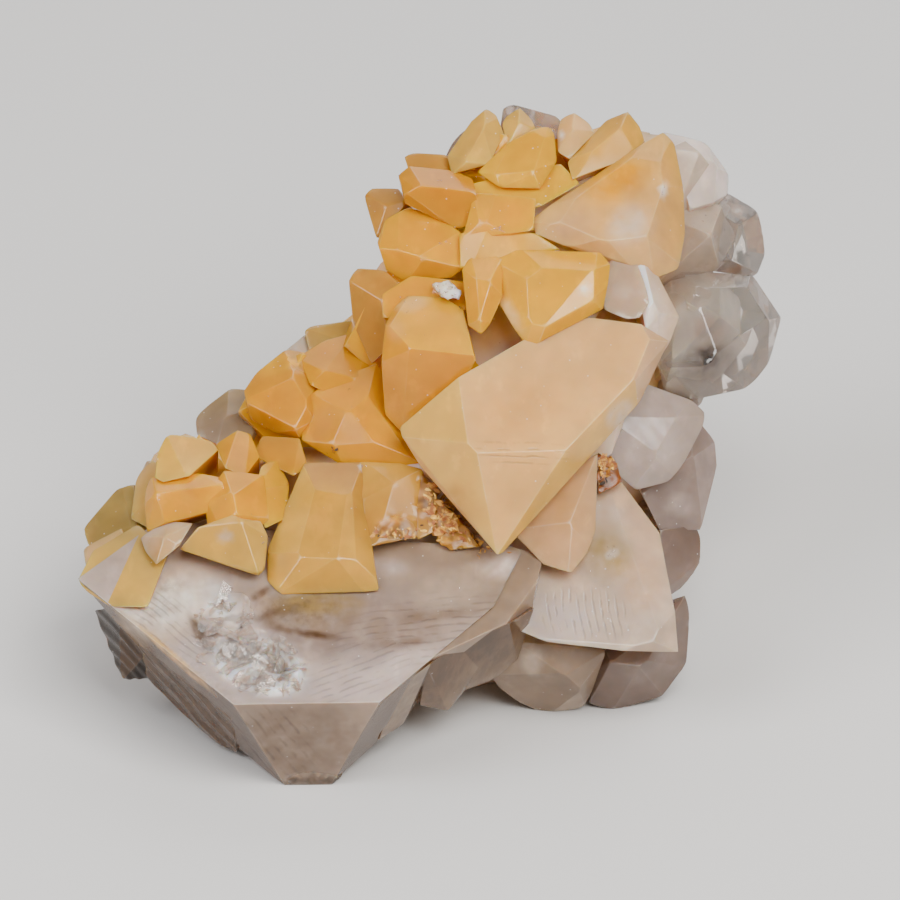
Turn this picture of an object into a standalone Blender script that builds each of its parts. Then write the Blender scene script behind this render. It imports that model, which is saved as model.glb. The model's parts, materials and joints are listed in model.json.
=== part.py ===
"""A hand-sized cluster of yellow and colourless calcite crystals, grown together as one solid.

Run with: blender --background --python part.py

Every crystal in front is drawn by its corners, in millimetres, on a sheet that leans back by LEAN.
A corner is (x, down, deep): to the right of the sheet's left edge, down from its top edge, and behind it.
The crystals at the back are drawn by their tip, axis and width, in the cluster's own frame.
"""

import itertools
import math
import random

import bmesh
import bpy
import numpy as np
from mathutils import Matrix, Vector

MM = 0.001
LEAN = math.radians(30)
FOOT_DOWN = 78.5
ORIGIN_X = 43.0
ORIGIN_Y = 28.0
ROOT_SHARE = 0.45
FACE_MERGE = math.radians(13)
FLOOR_BLOCK = 200.0
HONEY = (0.78, 0.55, 0.22, 1.0)

# Each crystal: its corners, then the point in the mass that it grows from.
CRYSTALS = {
    # the big colourless prow and the broken plates on its flanks
    "prow": (
        [(8.0, 57.8, 2.4), (23.6, 70.2, -8.2), (38.1, 69.9, -7.9), (44.1, 64.9, -3.7), (49.5, 60.4, 0.2),
         (52.0, 55.0, 4.8), (16.0, 52.0, 7.3), (28.6, 78.3, 0.5), (33.2, 78.3, 0.5),
         (25.2, 75.4, 3.0), (20.3, 71.8, 6.0), (12.2, 61.8, 8.0)],
        (34.0, 60.0, 22.0),
    ),
    "prow_shoulder": (
        [(43.0, 65.7, -4.3), (47.0, 63.3, -2.1), (50.6, 62.2, -1.0), (53.6, 58.2, 2.5), (54.3, 55.6, 4.7),
         (46.0, 53.0, 6.5), (43.0, 58.0, 2.3), (44.0, 68.6, 4.4), (52.8, 63.0, 4.4)],
        (46.0, 60.0, 20.0),
    ),
    "prow_cheek": (
        [(7.8, 57.9, 3.0), (9.6, 55.0, 6.0), (14.0, 52.5, 7.5), (17.0, 55.0, 3.6), (15.0, 60.5, -0.6),
         (11.0, 60.4, 0.6), (9.0, 59.2, 2.4)],
        (16.0, 56.0, 14.0),
    ),
    "plate_left_high": (
        [(9.7, 61.0, 6.6), (10.8, 63.4, 7.6), (11.5, 66.1, 8.8), (12.4, 67.9, 9.6),
         (14.7, 67.8, 8.6), (16.0, 64.0, 1.6), (12.0, 60.4, 0.8)],
        (20.0, 63.0, 18.0),
    ),
    "plate_left_low": (
        [(14.0, 62.5, 0.0), (14.9, 67.6, 8.0), (17.4, 70.4, 7.2), (20.0, 72.9, 6.4), (22.6, 74.6, 5.2),
         (23.7, 75.1, 4.6), (24.1, 74.3, 3.0), (23.4, 70.6, -5.6)],
        (26.0, 67.0, 14.0),
    ),
    "plate_right_1": (
        [(38.2, 70.0, -7.4), (41.4, 67.3, -5.2), (34.1, 77.3, 0.8), (36.4, 74.7, 2.2), (37.7, 74.1, 3.0),
         (39.6, 70.9, 2.0)],
        (36.0, 67.0, 14.0),
    ),
    "plate_right_2": (
        [(39.6, 68.8, -6.0), (43.4, 65.8, -3.6), (37.9, 73.7, 2.8), (39.4, 72.4, 3.2), (40.2, 72.5, 3.8),
         (41.7, 70.0, 3.2)],
        (38.5, 66.0, 14.0),
    ),
    "plate_right_3": (
        [(42.6, 66.4, -4.0), (47.2, 63.5, -1.8), (42.0, 70.4, 4.2), (43.4, 70.0, 4.8), (44.8, 71.0, 6.0),
         (46.4, 69.1, 6.4), (48.4, 65.8, 3.6)],
        (42.5, 64.5, 15.0),
    ),
    "plate_right_4": (
        [(46.2, 64.2, -2.2), (50.8, 62.3, -0.9), (46.4, 69.0, 6.6), (47.9, 67.9, 7.0), (49.4, 67.8, 7.8),
         (51.8, 65.8, 6.8), (53.4, 60.6, 2.0)],
        (47.0, 62.5, 16.0),
    ),
    # the small yellow crystals on the left shoulder
    "left_cap": (
        [(15.6, 47.8, 6.4), (15.8, 45.4, 8.4), (16.6, 43.7, 9.6), (17.3, 43.4, 9.8), (21.2, 44.1, 9.2),
         (21.9, 45.0, 8.2), (19.0, 47.6, 5.2), (16.4, 48.2, 5.6)],
        (20.0, 48.0, 16.0),
    ),
    "left_spire": (
        [(21.6, 44.4, 9.4), (23.8, 43.0, 10.0), (25.1, 43.4, 10.2), (26.0, 45.7, 8.6), (24.6, 47.6, 5.0),
         (22.6, 46.8, 5.0)],
        (25.0, 48.0, 16.0),
    ),
    "left_tip": (
        [(26.8, 46.2, 8.6), (27.8, 46.0, 9.0), (29.0, 48.4, 7.6), (28.8, 50.5, 6.2), (28.3, 52.0, 4.8),
         (26.6, 52.8, 2.8), (25.5, 49.0, 4.0), (26.2, 46.6, 7.4)],
        (27.0, 50.0, 14.0),
    ),
    "left_block": (
        [(14.7, 48.9, 7.2), (15.3, 47.7, 7.4), (20.0, 47.3, 6.0), (22.2, 47.7, 5.2), (15.7, 49.3, 4.4),
         (22.4, 48.4, 3.6), (22.6, 49.6, 3.2), (21.0, 51.2, 3.4), (16.6, 52.3, 4.0), (14.6, 50.4, 6.0),
         (14.8, 53.2, 5.8)],
        (20.0, 51.0, 13.0),
    ),
    "left_heart": (
        [(23.3, 49.3, 2.2), (24.0, 51.3, 1.2), (22.0, 52.2, 2.0), (22.5, 47.0, 5.0), (26.5, 47.5, 5.4),
         (27.0, 52.0, 3.2), (25.5, 53.0, 2.2), (21.0, 53.0, 3.0), (20.5, 50.0, 4.0)],
        (24.0, 51.0, 12.0),
    ),
    "left_fang": (
        [(18.1, 54.9, 2.6), (19.9, 52.7, 2.0), (23.5, 51.4, 1.4), (24.3, 52.1, 0.8), (25.9, 57.1, 0.4),
         (25.4, 57.3, 0.8), (22.9, 56.4, 1.6), (26.2, 52.1, 2.6), (26.9, 53.6, 2.2), (26.6, 56.9, 1.4),
         (26.0, 57.5, 1.0)],
        (22.5, 54.0, 10.0),
    ),
    "left_glassy_tooth": (
        [(14.2, 53.8, 4.8), (15.1, 53.0, 5.0), (17.3, 52.1, 4.4), (19.4, 52.3, 3.2), (18.1, 54.5, 2.0),
         (15.8, 56.4, 1.6), (14.7, 55.1, 3.6), (16.6, 53.6, 2.2)],
        (17.5, 54.0, 10.0),
    ),
    "left_shard": (
        [(15.5, 46.0, 12.0), (14.2, 46.9, 12.4), (13.6, 48.0, 12.2), (13.2, 51.9, 9.4), (15.4, 53.0, 7.6),
         (16.4, 48.0, 9.0)],
        (18.0, 50.0, 17.0),
    ),
    "left_olive": (
        [(13.4, 48.4, 13.2), (11.8, 49.0, 13.8), (10.9, 50.2, 13.8), (10.3, 51.0, 13.6), (8.4, 52.7, 13.0),
         (8.3, 53.2, 12.6), (9.0, 54.6, 11.2), (12.3, 51.9, 10.4), (13.8, 53.4, 8.4)],
        (16.0, 52.0, 19.0),
    ),
    "left_corner_bit": (
        [(8.4, 54.9, 9.6), (8.8, 54.6, 9.4), (12.2, 52.8, 9.0), (13.2, 55.6, 6.2), (9.0, 57.4, 5.4),
         (8.6, 56.2, 7.2)],
        (14.0, 56.0, 14.0),
    ),
    # the yellow crystals left of the middle
    "lemon_table": (
        [(26.9, 54.7, 3.4), (27.7, 53.8, 3.8), (30.1, 50.9, 5.0), (30.5, 46.3, 8.4), (36.1, 46.2, 7.8),
         (37.2, 54.5, 2.6), (37.9, 58.8, 1.0), (36.4, 59.2, 0.8), (28.1, 59.2, 1.0), (26.8, 58.0, 2.0),
         (31.5, 49.0, 5.2), (35.0, 49.5, 4.4), (29.9, 55.8, 0.8), (33.7, 55.7, 0.0), (36.0, 55.9, 0.4)],
        (32.5, 53.0, 14.0),
    ),
    "lemon_wall": (
        [(36.0, 46.2, 8.2), (40.0, 46.3, 7.6), (42.2, 46.9, 7.0), (42.0, 53.6, 4.6), (41.2, 53.6, 4.2),
         (39.5, 52.1, 4.2), (38.0, 53.4, 3.6), (37.2, 54.6, 2.8), (36.2, 50.0, 5.0), (39.6, 48.2, 5.4)],
        (39.0, 50.0, 15.0),
    ),
    "orange_left": (
        [(24.4, 39.2, 14.4), (25.6, 37.2, 15.6), (28.7, 34.9, 16.8), (30.4, 35.2, 16.4), (31.8, 38.0, 13.6),
         (31.5, 42.0, 11.0), (30.0, 43.9, 11.0), (27.5, 43.3, 12.4), (25.0, 41.9, 13.8), (24.7, 40.2, 12.8),
         (29.6, 43.0, 9.8), (29.4, 37.4, 12.8), (30.6, 40.6, 10.4)],
        (30.5, 40.0, 22.0),
    ),
    "orange_crest": (
        [(29.8, 35.6, 15.6), (31.3, 35.4, 16.0), (32.4, 34.1, 17.0), (34.9, 33.4, 17.0), (36.6, 34.9, 15.4),
         (37.6, 37.5, 13.2), (34.0, 40.0, 11.2), (31.0, 38.5, 12.2), (33.6, 36.0, 13.8), (32.0, 37.5, 12.6),
         (35.6, 37.6, 12.2)],
        (34.0, 38.0, 22.0),
    ),
    "orange_right": (
        [(31.0, 39.6, 12.0), (33.0, 38.0, 12.6), (37.8, 36.4, 13.2), (38.4, 41.1, 10.8), (40.2, 43.0, 9.4),
         (42.3, 46.6, 7.6), (34.0, 46.4, 9.0), (30.1, 44.0, 10.4), (34.5, 41.0, 9.2), (36.8, 40.0, 9.8),
         (37.5, 44.0, 7.8), (33.6, 44.6, 8.4)],
        (36.5, 41.5, 20.0),
    ),
    "orange_foot": (
        [(26.2, 43.6, 11.4), (30.0, 43.8, 10.6), (30.8, 46.6, 8.6), (29.4, 47.6, 7.4), (28.0, 46.4, 8.6),
         (25.4, 45.6, 9.8)],
        (29.0, 46.0, 16.0),
    ),
    "green_back_tip": (
        [(30.4, 33.1, 18.6), (31.0, 32.6, 19.0), (35.1, 32.0, 18.6), (35.9, 34.0, 17.4), (36.5, 36.0, 16.4),
         (31.0, 35.5, 17.8)],
        (34.0, 36.0, 24.0),
    ),
    "pale_back_tip": (
        [(26.9, 36.4, 18.6), (28.2, 35.4, 19.0), (29.9, 34.3, 19.0), (30.5, 33.4, 19.2), (31.4, 36.0, 18.0),
         (27.5, 38.2, 17.2)],
        (31.0, 37.5, 24.0),
    ),
    "grey_back_left": (
        [(19.5, 41.8, 18.6), (20.2, 40.9, 19.0), (21.7, 40.0, 19.4), (23.1, 38.9, 19.6), (24.6, 38.9, 19.0),
         (26.4, 41.0, 16.8), (25.0, 44.0, 15.4), (21.6, 44.4, 15.4), (19.7, 43.5, 17.0), (22.5, 41.5, 16.6)],
        (25.0, 43.5, 24.0),
    ),
    # the large peach crystal and the amber blocks beside it
    "peach_spear": (
        [(47.7, 45.3, 0.0), (56.2, 45.1, 0.1), (63.0, 38.6, 3.4), (64.9, 34.0, 5.7), (64.0, 32.4, 6.6),
         (57.5, 31.8, 6.9), (51.0, 34.6, 5.4), (46.6, 37.4, 4.0), (45.9, 39.6, 3.0), (46.6, 43.4, 1.0),
         (49.6, 55.3, 0.6), (40.0, 43.3, 5.4), (42.1, 46.7, 5.2), (45.6, 50.5, 3.4), (53.6, 50.3, 3.4),
         (59.9, 45.0, 6.0), (64.7, 38.6, 8.4), (66.8, 34.2, 9.6), (44.4, 39.0, 4.6)],
        (56.0, 41.0, 19.0),
    ),
    "amber_block": (
        [(38.6, 32.6, 8.0), (41.2, 34.7, 5.4), (47.6, 36.0, 4.6), (46.8, 33.0, 7.0), (46.3, 30.9, 9.0),
         (44.4, 29.8, 10.2), (40.7, 29.6, 10.6), (39.3, 30.9, 9.8), (38.2, 36.3, 7.4), (38.5, 41.4, 9.0),
         (40.1, 43.2, 8.4), (46.2, 38.6, 5.8)],
        (44.0, 37.0, 17.0),
    ),
    "amber_hollow": (
        [(38.2, 29.4, 11.6), (41.2, 27.6, 12.0), (46.6, 28.2, 10.8), (47.0, 31.0, 9.8), (41.0, 32.0, 10.4),
         (38.3, 31.8, 11.0)],
        (42.0, 31.0, 18.0),
    ),
    "white_chip": (
        [(43.2, 28.4, 9.6), (44.8, 28.1, 9.0), (46.1, 29.1, 8.8), (45.9, 30.0, 8.6), (44.2, 29.7, 8.8)],
        (44.8, 29.4, 13.0),
    ),
    "pale_back_left": (
        [(35.0, 27.9, 14.0), (35.7, 26.8, 14.6), (38.4, 27.0, 14.0), (40.2, 28.6, 12.4), (39.0, 34.6, 11.2),
         (37.2, 36.4, 12.8), (35.2, 32.2, 13.6), (38.0, 30.0, 11.4)],
        (40.0, 32.0, 20.0),
    ),
    "amber_dome": (
        [(51.6, 25.0, 9.4), (57.4, 25.2, 8.6), (60.0, 25.3, 8.8), (60.9, 26.4, 8.2), (60.8, 28.5, 7.6),
         (60.2, 30.9, 7.2), (57.4, 32.5, 6.2), (53.5, 34.4, 5.6), (52.6, 34.4, 5.8), (51.6, 33.3, 6.0),
         (50.5, 31.3, 6.8), (49.8, 30.2, 7.6), (49.7, 26.0, 9.6), (52.6, 28.1, 6.2), (54.4, 26.8, 6.8),
         (59.4, 27.0, 6.2), (59.3, 30.0, 5.6), (54.5, 32.8, 4.4), (53.0, 32.6, 4.8)],
        (55.5, 30.0, 18.0),
    ),
    "amber_blade": (
        [(46.2, 27.0, 9.4), (47.0, 25.7, 10.0), (49.2, 25.5, 9.8), (50.2, 26.0, 9.2), (50.2, 29.8, 7.0),
         (48.9, 32.6, 5.8), (48.1, 33.5, 5.4), (46.8, 32.6, 6.4), (47.6, 28.0, 7.2), (49.0, 28.0, 6.8),
         (48.0, 32.0, 5.2)],
        (48.3, 30.0, 17.0),
    ),
    "window": (
        [(60.8, 26.2, 9.4), (63.4, 25.6, 9.4), (65.0, 30.0, 8.2), (64.4, 31.1, 7.6), (63.9, 31.8, 7.4),
         (62.6, 32.0, 7.2), (60.3, 31.0, 7.4)],
        (63.0, 29.5, 17.0),
    ),
    "window_frame": (
        [(63.2, 26.9, 9.2), (64.0, 26.5, 9.2), (65.5, 30.2, 7.9), (64.8, 30.7, 7.7), (65.5, 27.2, 10.4),
         (67.4, 30.7, 10.8), (67.8, 31.8, 10.8), (66.9, 34.4, 10.2), (65.2, 36.6, 9.0), (64.5, 33.0, 7.4),
         (65.9, 31.6, 8.0)],
        (64.0, 31.5, 18.0),
    ),
    # the crown of yellow crystals at the top
    "big_shoulder": (
        [(53.1, 22.2, 10.6), (53.6, 23.5, 9.8), (56.5, 24.6, 9.0), (60.4, 25.5, 8.6), (62.2, 25.8, 8.6),
         (64.4, 25.1, 9.2), (65.4, 27.9, 10.2), (67.7, 27.0, 12.0), (68.4, 24.2, 13.0), (68.5, 20.3, 14.0),
         (68.0, 17.0, 15.2), (67.2, 14.0, 16.4), (66.5, 13.3, 16.6), (63.1, 15.3, 14.2), (57.0, 19.0, 12.2),
         (63.0, 15.9, 13.0), (57.5, 19.6, 10.6), (55.0, 22.5, 9.0), (60.5, 24.0, 7.4), (64.8, 24.0, 8.2),
         (66.3, 19.0, 11.2), (66.2, 15.6, 13.8)],
        (61.5, 21.5, 23.0),
    ),
    "crown_blade": (
        [(56.8, 16.4, 13.8), (59.7, 12.9, 17.0), (60.9, 11.8, 17.6), (62.8, 11.2, 17.6), (64.0, 12.6, 17.4),
         (64.5, 14.0, 16.6), (63.3, 15.6, 14.4), (62.4, 12.4, 15.8), (59.6, 14.8, 13.8), (57.2, 18.0, 12.2)],
        (61.0, 16.5, 23.0),
    ),
    "crown_tooth": (
        [(55.7, 13.3, 16.4), (56.1, 11.8, 17.8), (57.4, 11.2, 17.8), (58.9, 12.2, 17.4), (59.5, 13.3, 16.6),
         (58.3, 14.4, 15.0), (57.0, 15.9, 14.0), (55.8, 15.2, 14.6), (57.3, 12.8, 15.6)],
        (57.5, 15.5, 23.0),
    ),
    "crown_slab": (
        [(47.7, 17.2, 13.8), (50.9, 14.2, 14.6), (53.6, 12.8, 15.2), (54.9, 12.6, 15.4), (55.4, 13.2, 15.2),
         (55.7, 16.1, 13.6), (54.0, 18.9, 11.8), (50.0, 18.8, 12.0), (54.3, 14.0, 13.8), (53.4, 17.4, 11.6),
         (49.6, 17.4, 12.2)],
        (52.5, 17.0, 22.0),
    ),
    "crown_left": (
        [(44.7, 15.6, 17.0), (46.4, 13.1, 18.0), (47.2, 12.0, 18.2), (48.7, 10.8, 18.2), (49.6, 11.4, 17.8),
         (50.4, 13.3, 16.6), (49.0, 16.4, 14.0), (45.2, 17.4, 15.2), (48.4, 12.6, 16.0), (46.6, 16.2, 14.2)],
        (49.0, 15.5, 24.0),
    ),
    "crown_step": (
        [(47.2, 18.6, 13.4), (50.0, 17.6, 13.6), (56.2, 16.6, 14.0), (58.0, 18.4, 12.2), (54.2, 20.6, 11.2),
         (49.4, 20.8, 11.6), (47.4, 20.4, 12.4)],
        (52.5, 18.0, 22.0),
    ),
    "crown_bud": (
        [(50.2, 12.4, 17.4), (50.6, 11.6, 17.8), (52.0, 10.7, 18.0), (53.2, 11.9, 17.6), (53.6, 12.9, 16.8),
         (50.8, 14.8, 15.6), (51.9, 12.2, 16.2)],
        (52.0, 14.5, 23.0),
    ),
    "crown_glass": (
        [(50.3, 10.7, 20.6), (51.1, 10.4, 20.8), (53.1, 10.7, 20.8), (55.8, 11.7, 20.6), (57.0, 13.0, 20.0),
         (50.0, 13.0, 19.6)],
        (53.0, 14.5, 26.0),
    ),
    "crown_glass_left": (
        [(44.5, 15.7, 18.6), (45.2, 14.2, 19.0), (46.5, 12.9, 19.4), (48.0, 13.0, 19.0), (47.0, 17.0, 17.6)],
        (48.5, 16.5, 25.0),
    ),
    "brown_chip": (
        [(40.4, 15.6, 18.4), (41.3, 15.2, 18.6), (44.6, 15.4, 18.0), (45.5, 17.0, 17.2), (41.0, 17.4, 16.8)],
        (44.0, 18.0, 23.0),
    ),
    "brow": (
        [(39.8, 17.5, 15.4), (40.9, 16.6, 16.0), (45.3, 17.0, 15.6), (47.2, 17.9, 14.6), (40.4, 19.4, 12.8),
         (41.6, 18.8, 12.2), (44.4, 18.7, 11.8), (47.6, 19.3, 11.6), (40.5, 20.4, 13.8), (43.3, 21.6, 13.2),
         (45.7, 22.9, 12.6), (47.8, 22.4, 12.2)],
        (45.0, 20.0, 22.0),
    ),
    "far_left_pale": (
        [(36.4, 19.6, 17.4), (37.2, 18.8, 17.8), (39.8, 18.8, 17.0), (40.7, 20.3, 15.6), (37.6, 23.8, 15.4),
         (38.7, 20.5, 15.6)],
        (41.5, 22.0, 22.0),
    ),
    "cheek": (
        [(37.7, 24.2, 13.8), (38.5, 22.0, 14.8), (40.9, 20.7, 15.0), (44.4, 22.0, 13.4), (46.1, 23.3, 12.0),
         (46.4, 26.8, 10.4), (42.6, 26.0, 10.6), (40.5, 25.1, 11.2), (37.9, 24.8, 12.8), (38.6, 27.0, 13.8),
         (40.5, 28.2, 13.4), (41.8, 27.6, 12.8), (45.2, 27.8, 11.6)],
        (43.5, 25.0, 21.0),
    ),
    "mid_block": (
        [(47.4, 19.4, 12.0), (49.2, 20.5, 10.8), (49.6, 19.4, 11.2), (53.6, 20.0, 10.6), (53.3, 23.1, 9.6),
         (51.0, 23.4, 9.4), (47.9, 22.4, 10.4), (46.2, 24.0, 11.0)],
        (50.0, 22.0, 20.0),
    ),
    "mid_ledge": (
        [(45.9, 23.4, 11.2), (49.0, 22.8, 10.2), (53.6, 23.4, 9.8), (56.0, 25.0, 9.4), (51.5, 25.4, 9.4),
         (47.0, 26.4, 9.6), (46.0, 26.9, 9.9)],
        (50.5, 25.0, 19.0),
    ),
    # the rust-stained steps under the peach crystal
    "rust_step_high": (
        [(42.0, 47.2, 7.0), (43.6, 48.5, 6.2), (43.3, 53.2, 4.6), (42.0, 53.8, 4.4), (41.6, 50.0, 5.6)],
        (43.0, 50.0, 14.0),
    ),
    "rust_step_low": (
        [(43.0, 49.4, 6.4), (45.2, 51.0, 5.6), (48.0, 54.6, 4.4), (45.0, 55.0, 4.2), (43.0, 53.0, 4.8)],
        (45.5, 52.5, 14.0),
    ),
    "rust_corner": (
        [(59.6, 45.6, 8.4), (61.6, 46.0, 8.8), (62.2, 48.2, 8.4), (59.8, 49.4, 7.4)],
        (60.5, 47.5, 15.0),
    ),
    # the pale crystals on the right
    "tan_wedge": (
        [(56.4, 47.4, 7.0), (59.7, 45.4, 8.2), (59.5, 53.0, 5.2), (58.6, 55.3, 4.4), (57.1, 57.2, 3.8),
         (54.3, 56.4, 4.0), (53.2, 54.9, 4.2), (51.2, 53.2, 4.8), (53.6, 50.1, 6.0), (57.0, 52.0, 3.8)],
        (57.0, 52.0, 15.0),
    ),
    "right_slab": (
        [(59.3, 49.5, 8.6), (61.9, 48.0, 10.0), (63.5, 50.1, 9.4), (65.6, 52.8, 8.4), (66.7, 57.2, 6.6),
         (67.5, 61.3, 5.0), (67.5, 65.0, 4.6), (64.9, 63.9, 3.0), (62.1, 65.0, 2.9), (57.5, 64.4, 2.9),
         (54.1, 63.8, 3.2), (51.8, 62.7, 3.9), (52.2, 61.3, 4.3), (54.5, 58.1, 5.4), (54.1, 55.6, 6.4)],
        (60.0, 58.0, 19.0),
    ),
    "floor_lobe_left": (
        [(48.5, 66.4, 8.6), (49.0, 64.8, 8.0), (51.8, 62.9, 6.6), (60.5, 65.0, 7.4), (59.6, 67.5, 9.4),
         (59.1, 69.4, 11.4), (58.2, 70.7, 12.6), (56.4, 71.2, 13.2), (54.1, 71.2, 13.2), (51.8, 70.1, 12.4),
         (49.9, 68.8, 10.8), (51.6, 64.1, 5.8), (56.4, 67.5, 6.6), (58.0, 68.9, 8.2)],
        (55.0, 65.0, 21.0),
    ),
    "floor_lobe_right": (
        [(60.5, 65.0, 10.0), (68.5, 59.5, 12.0), (68.9, 60.9, 12.4), (68.7, 66.1, 12.8), (67.2, 68.4, 13.2),
         (66.0, 69.7, 13.6), (61.2, 71.1, 13.4), (58.9, 70.3, 12.8), (59.3, 67.0, 11.0), (61.0, 66.2, 8.6),
         (64.0, 66.6, 8.8), (67.0, 62.0, 10.2)],
        (62.5, 64.0, 23.0),
    ),
    "right_mid": (
        [(62.0, 39.0, 14.6), (64.7, 38.4, 14.8), (66.4, 39.1, 15.2), (69.2, 40.0, 16.4), (70.5, 41.2, 17.2),
         (70.4, 42.5, 17.2), (68.4, 46.4, 15.8), (66.8, 48.2, 15.0), (63.6, 49.0, 13.2), (60.0, 46.0, 12.0),
         (67.6, 41.6, 14.2), (65.6, 45.6, 12.8), (62.0, 42.0, 12.2)],
        (64.5, 44.0, 24.0),
    ),
    "right_back": (
        [(69.5, 41.5, 21.0), (70.5, 42.8, 21.2), (71.5, 44.0, 21.4), (71.8, 46.4, 21.8), (71.3, 48.6, 21.6),
         (70.7, 51.0, 21.0), (69.8, 53.0, 20.4), (66.0, 53.0, 17.6), (64.0, 49.0, 16.2), (69.2, 46.0, 18.4)],
        (65.5, 47.0, 28.0),
    ),
    "right_back_low": (
        [(69.6, 52.6, 20.4), (70.2, 53.8, 20.6), (70.1, 56.2, 20.4), (69.2, 57.7, 19.8), (68.1, 58.9, 19.0),
         (67.0, 59.6, 17.8), (66.4, 57.7, 17.0), (66.0, 53.0, 17.4)],
        (64.5, 54.5, 27.0),
    ),
    "pink_lobe": (
        [(66.4, 13.2, 19.6), (68.4, 13.5, 20.4), (70.6, 14.2, 21.0), (71.9, 15.7, 21.4), (72.9, 17.4, 21.8),
         (73.0, 18.3, 21.8), (72.9, 19.3, 21.6), (71.4, 20.9, 19.6), (68.8, 21.8, 18.4), (68.0, 17.0, 17.6),
         (67.6, 14.6, 17.4), (71.8, 16.5, 19.0), (71.4, 20.2, 18.2), (69.0, 20.8, 17.0)],
        (66.5, 18.5, 29.0),
    ),
    "olive_lobe": (
        [(72.9, 19.2, 22.6), (75.5, 20.7, 23.2), (76.4, 23.1, 23.6), (76.8, 25.3, 23.6), (75.6, 27.5, 22.6),
         (73.4, 27.4, 20.8), (68.2, 26.6, 18.2), (68.5, 22.0, 18.4), (71.5, 20.8, 19.8), (74.0, 22.6, 20.0),
         (73.2, 26.0, 18.8), (69.8, 23.6, 17.2)],
        (68.5, 24.5, 30.0),
    ),
    "smoky_lobe": (
        [(66.4, 28.1, 17.2), (68.1, 27.0, 17.6), (72.9, 27.3, 18.6), (75.5, 27.6, 20.2), (78.2, 31.7, 20.8),
         (77.8, 33.5, 20.6), (77.0, 36.1, 19.8), (75.6, 38.1, 19.0), (74.7, 38.7, 18.6), (72.5, 39.4, 17.6),
         (69.0, 39.9, 16.6), (66.4, 39.0, 16.0), (65.5, 35.0, 15.6), (69.5, 28.8, 14.8), (74.6, 28.6, 16.8),
         (77.0, 32.0, 17.4), (71.5, 35.0, 13.6), (71.0, 36.6, 13.8), (67.0, 37.0, 13.8), (67.6, 31.0, 14.2)],
        (69.5, 33.0, 27.0),
    ),
}

# The broken mass that the crystals share: hulls in the cluster's own frame, x right, y back, z up, in mm.
CORES = {
    "core_low": [
        (16, 25, -2), (22, 17, -2), (33, 13, -2), (49, 23.5, -2), (58, 26, -2), (65, 30, -2),
        (62, 44, -2), (50, 52, -2), (32, 50, -2), (18, 40, -2),
        (14, 26, 12), (24, 14, 12), (44, 12, 11), (60, 24, 12), (65, 32, 14), (61, 46, 14), (48, 53, 14),
        (30, 49, 14), (17, 38, 14),
    ],
    "core_mid": [
        (18, 26, 10), (34, 18, 10), (58, 24, 10), (65, 34, 10), (61, 48, 10), (44, 53, 10), (24, 44, 10),
        (26, 28, 21), (42, 22, 24), (62, 28, 26), (66, 38, 28), (61, 50, 28), (48, 53, 28), (32, 42, 21),
    ],
    "core_top": [
        (38, 33, 22), (52, 27, 22), (65, 34, 22), (67, 42, 24), (60, 51, 24), (44, 49, 24),
        (43, 40, 37), (52, 38, 40), (65, 41, 42), (69, 45, 38), (63, 50, 40), (50, 49, 40), (42.5, 47, 33),
        (47, 44, 42), (52, 44, 44), (62, 44, 45), (65, 46, 45), (62, 53, 40),
    ],
}

# Rows of crystals round the back, from the right side to the left: height, how far they point up,
# and the line (x, y) that their tips follow in plan.
BACK_ROWS = [
    (3.0, 0, [(65, 29), (65, 38), (60, 48), (50, 52), (38, 53), (26, 51), (17, 45), (13, 37), (12.5, 30)]),
    (10.5, 12, [(67, 33), (67, 42), (61, 50), (50, 55), (38, 55), (27, 52), (18, 45), (13, 35), (11.5, 28)]),
    (18.0, 24, [(67.5, 36), (67.5, 44), (62, 51), (50, 56), (40, 55.5), (31, 50), (24, 42), (20, 36), (17.5, 30.5)]),
    (25.0, 34, [(69, 39), (68, 47), (61, 53), (51, 56.5), (43, 54), (35.5, 47), (30, 40), (26.5, 35)]),
    (32.0, 38, [(70, 42), (69, 49), (62, 55), (53, 56), (46, 53), (40, 46), (36.5, 39)]),
    (39.0, 44, [(71, 45), (69, 51), (62, 55), (53, 55), (46, 51), (42, 45)]),
    (44.5, 58, [(67, 49.5), (62, 52.5), (56, 53), (51, 51), (49, 48.5)]),
]
BACK_SPACING = 6.4
BACK_WIDTHS = (3.4, 5.4)
BACK_LENGTH = 15.0
BACK_PROUD = 1.6
CLEAVAGE_RISE = 0.986
NAILHEAD_RISE = 0.49
BACK_SEED = 17


def on_sheet(x, down, deep):
    """A corner on the leaning sheet, in the cluster's own frame, in metres."""
    up = FOOT_DOWN - down
    return (
        (x - ORIGIN_X) * MM,
        (up * math.sin(LEAN) + deep * math.cos(LEAN) - ORIGIN_Y) * MM,
        (up * math.cos(LEAN) - deep * math.sin(LEAN)) * MM,
    )


def in_frame(x, y, z):
    """A point drawn in the cluster's own frame, in metres."""
    return ((x - ORIGIN_X) * MM, (y - ORIGIN_Y) * MM, z * MM)


def hull(points):
    """The convex hull of some points, as a bmesh of triangles."""
    shape = bmesh.new()
    for point in points:
        shape.verts.new(point)
    made = bmesh.ops.convex_hull(shape, input=shape.verts)
    spare = [part for part in made["geom_interior"] + made["geom_unused"] if isinstance(part, bmesh.types.BMVert)]
    bmesh.ops.delete(shape, geom=list(set(spare)), context="VERTS")
    bmesh.ops.recalc_face_normals(shape, faces=shape.faces)
    return shape


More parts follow.
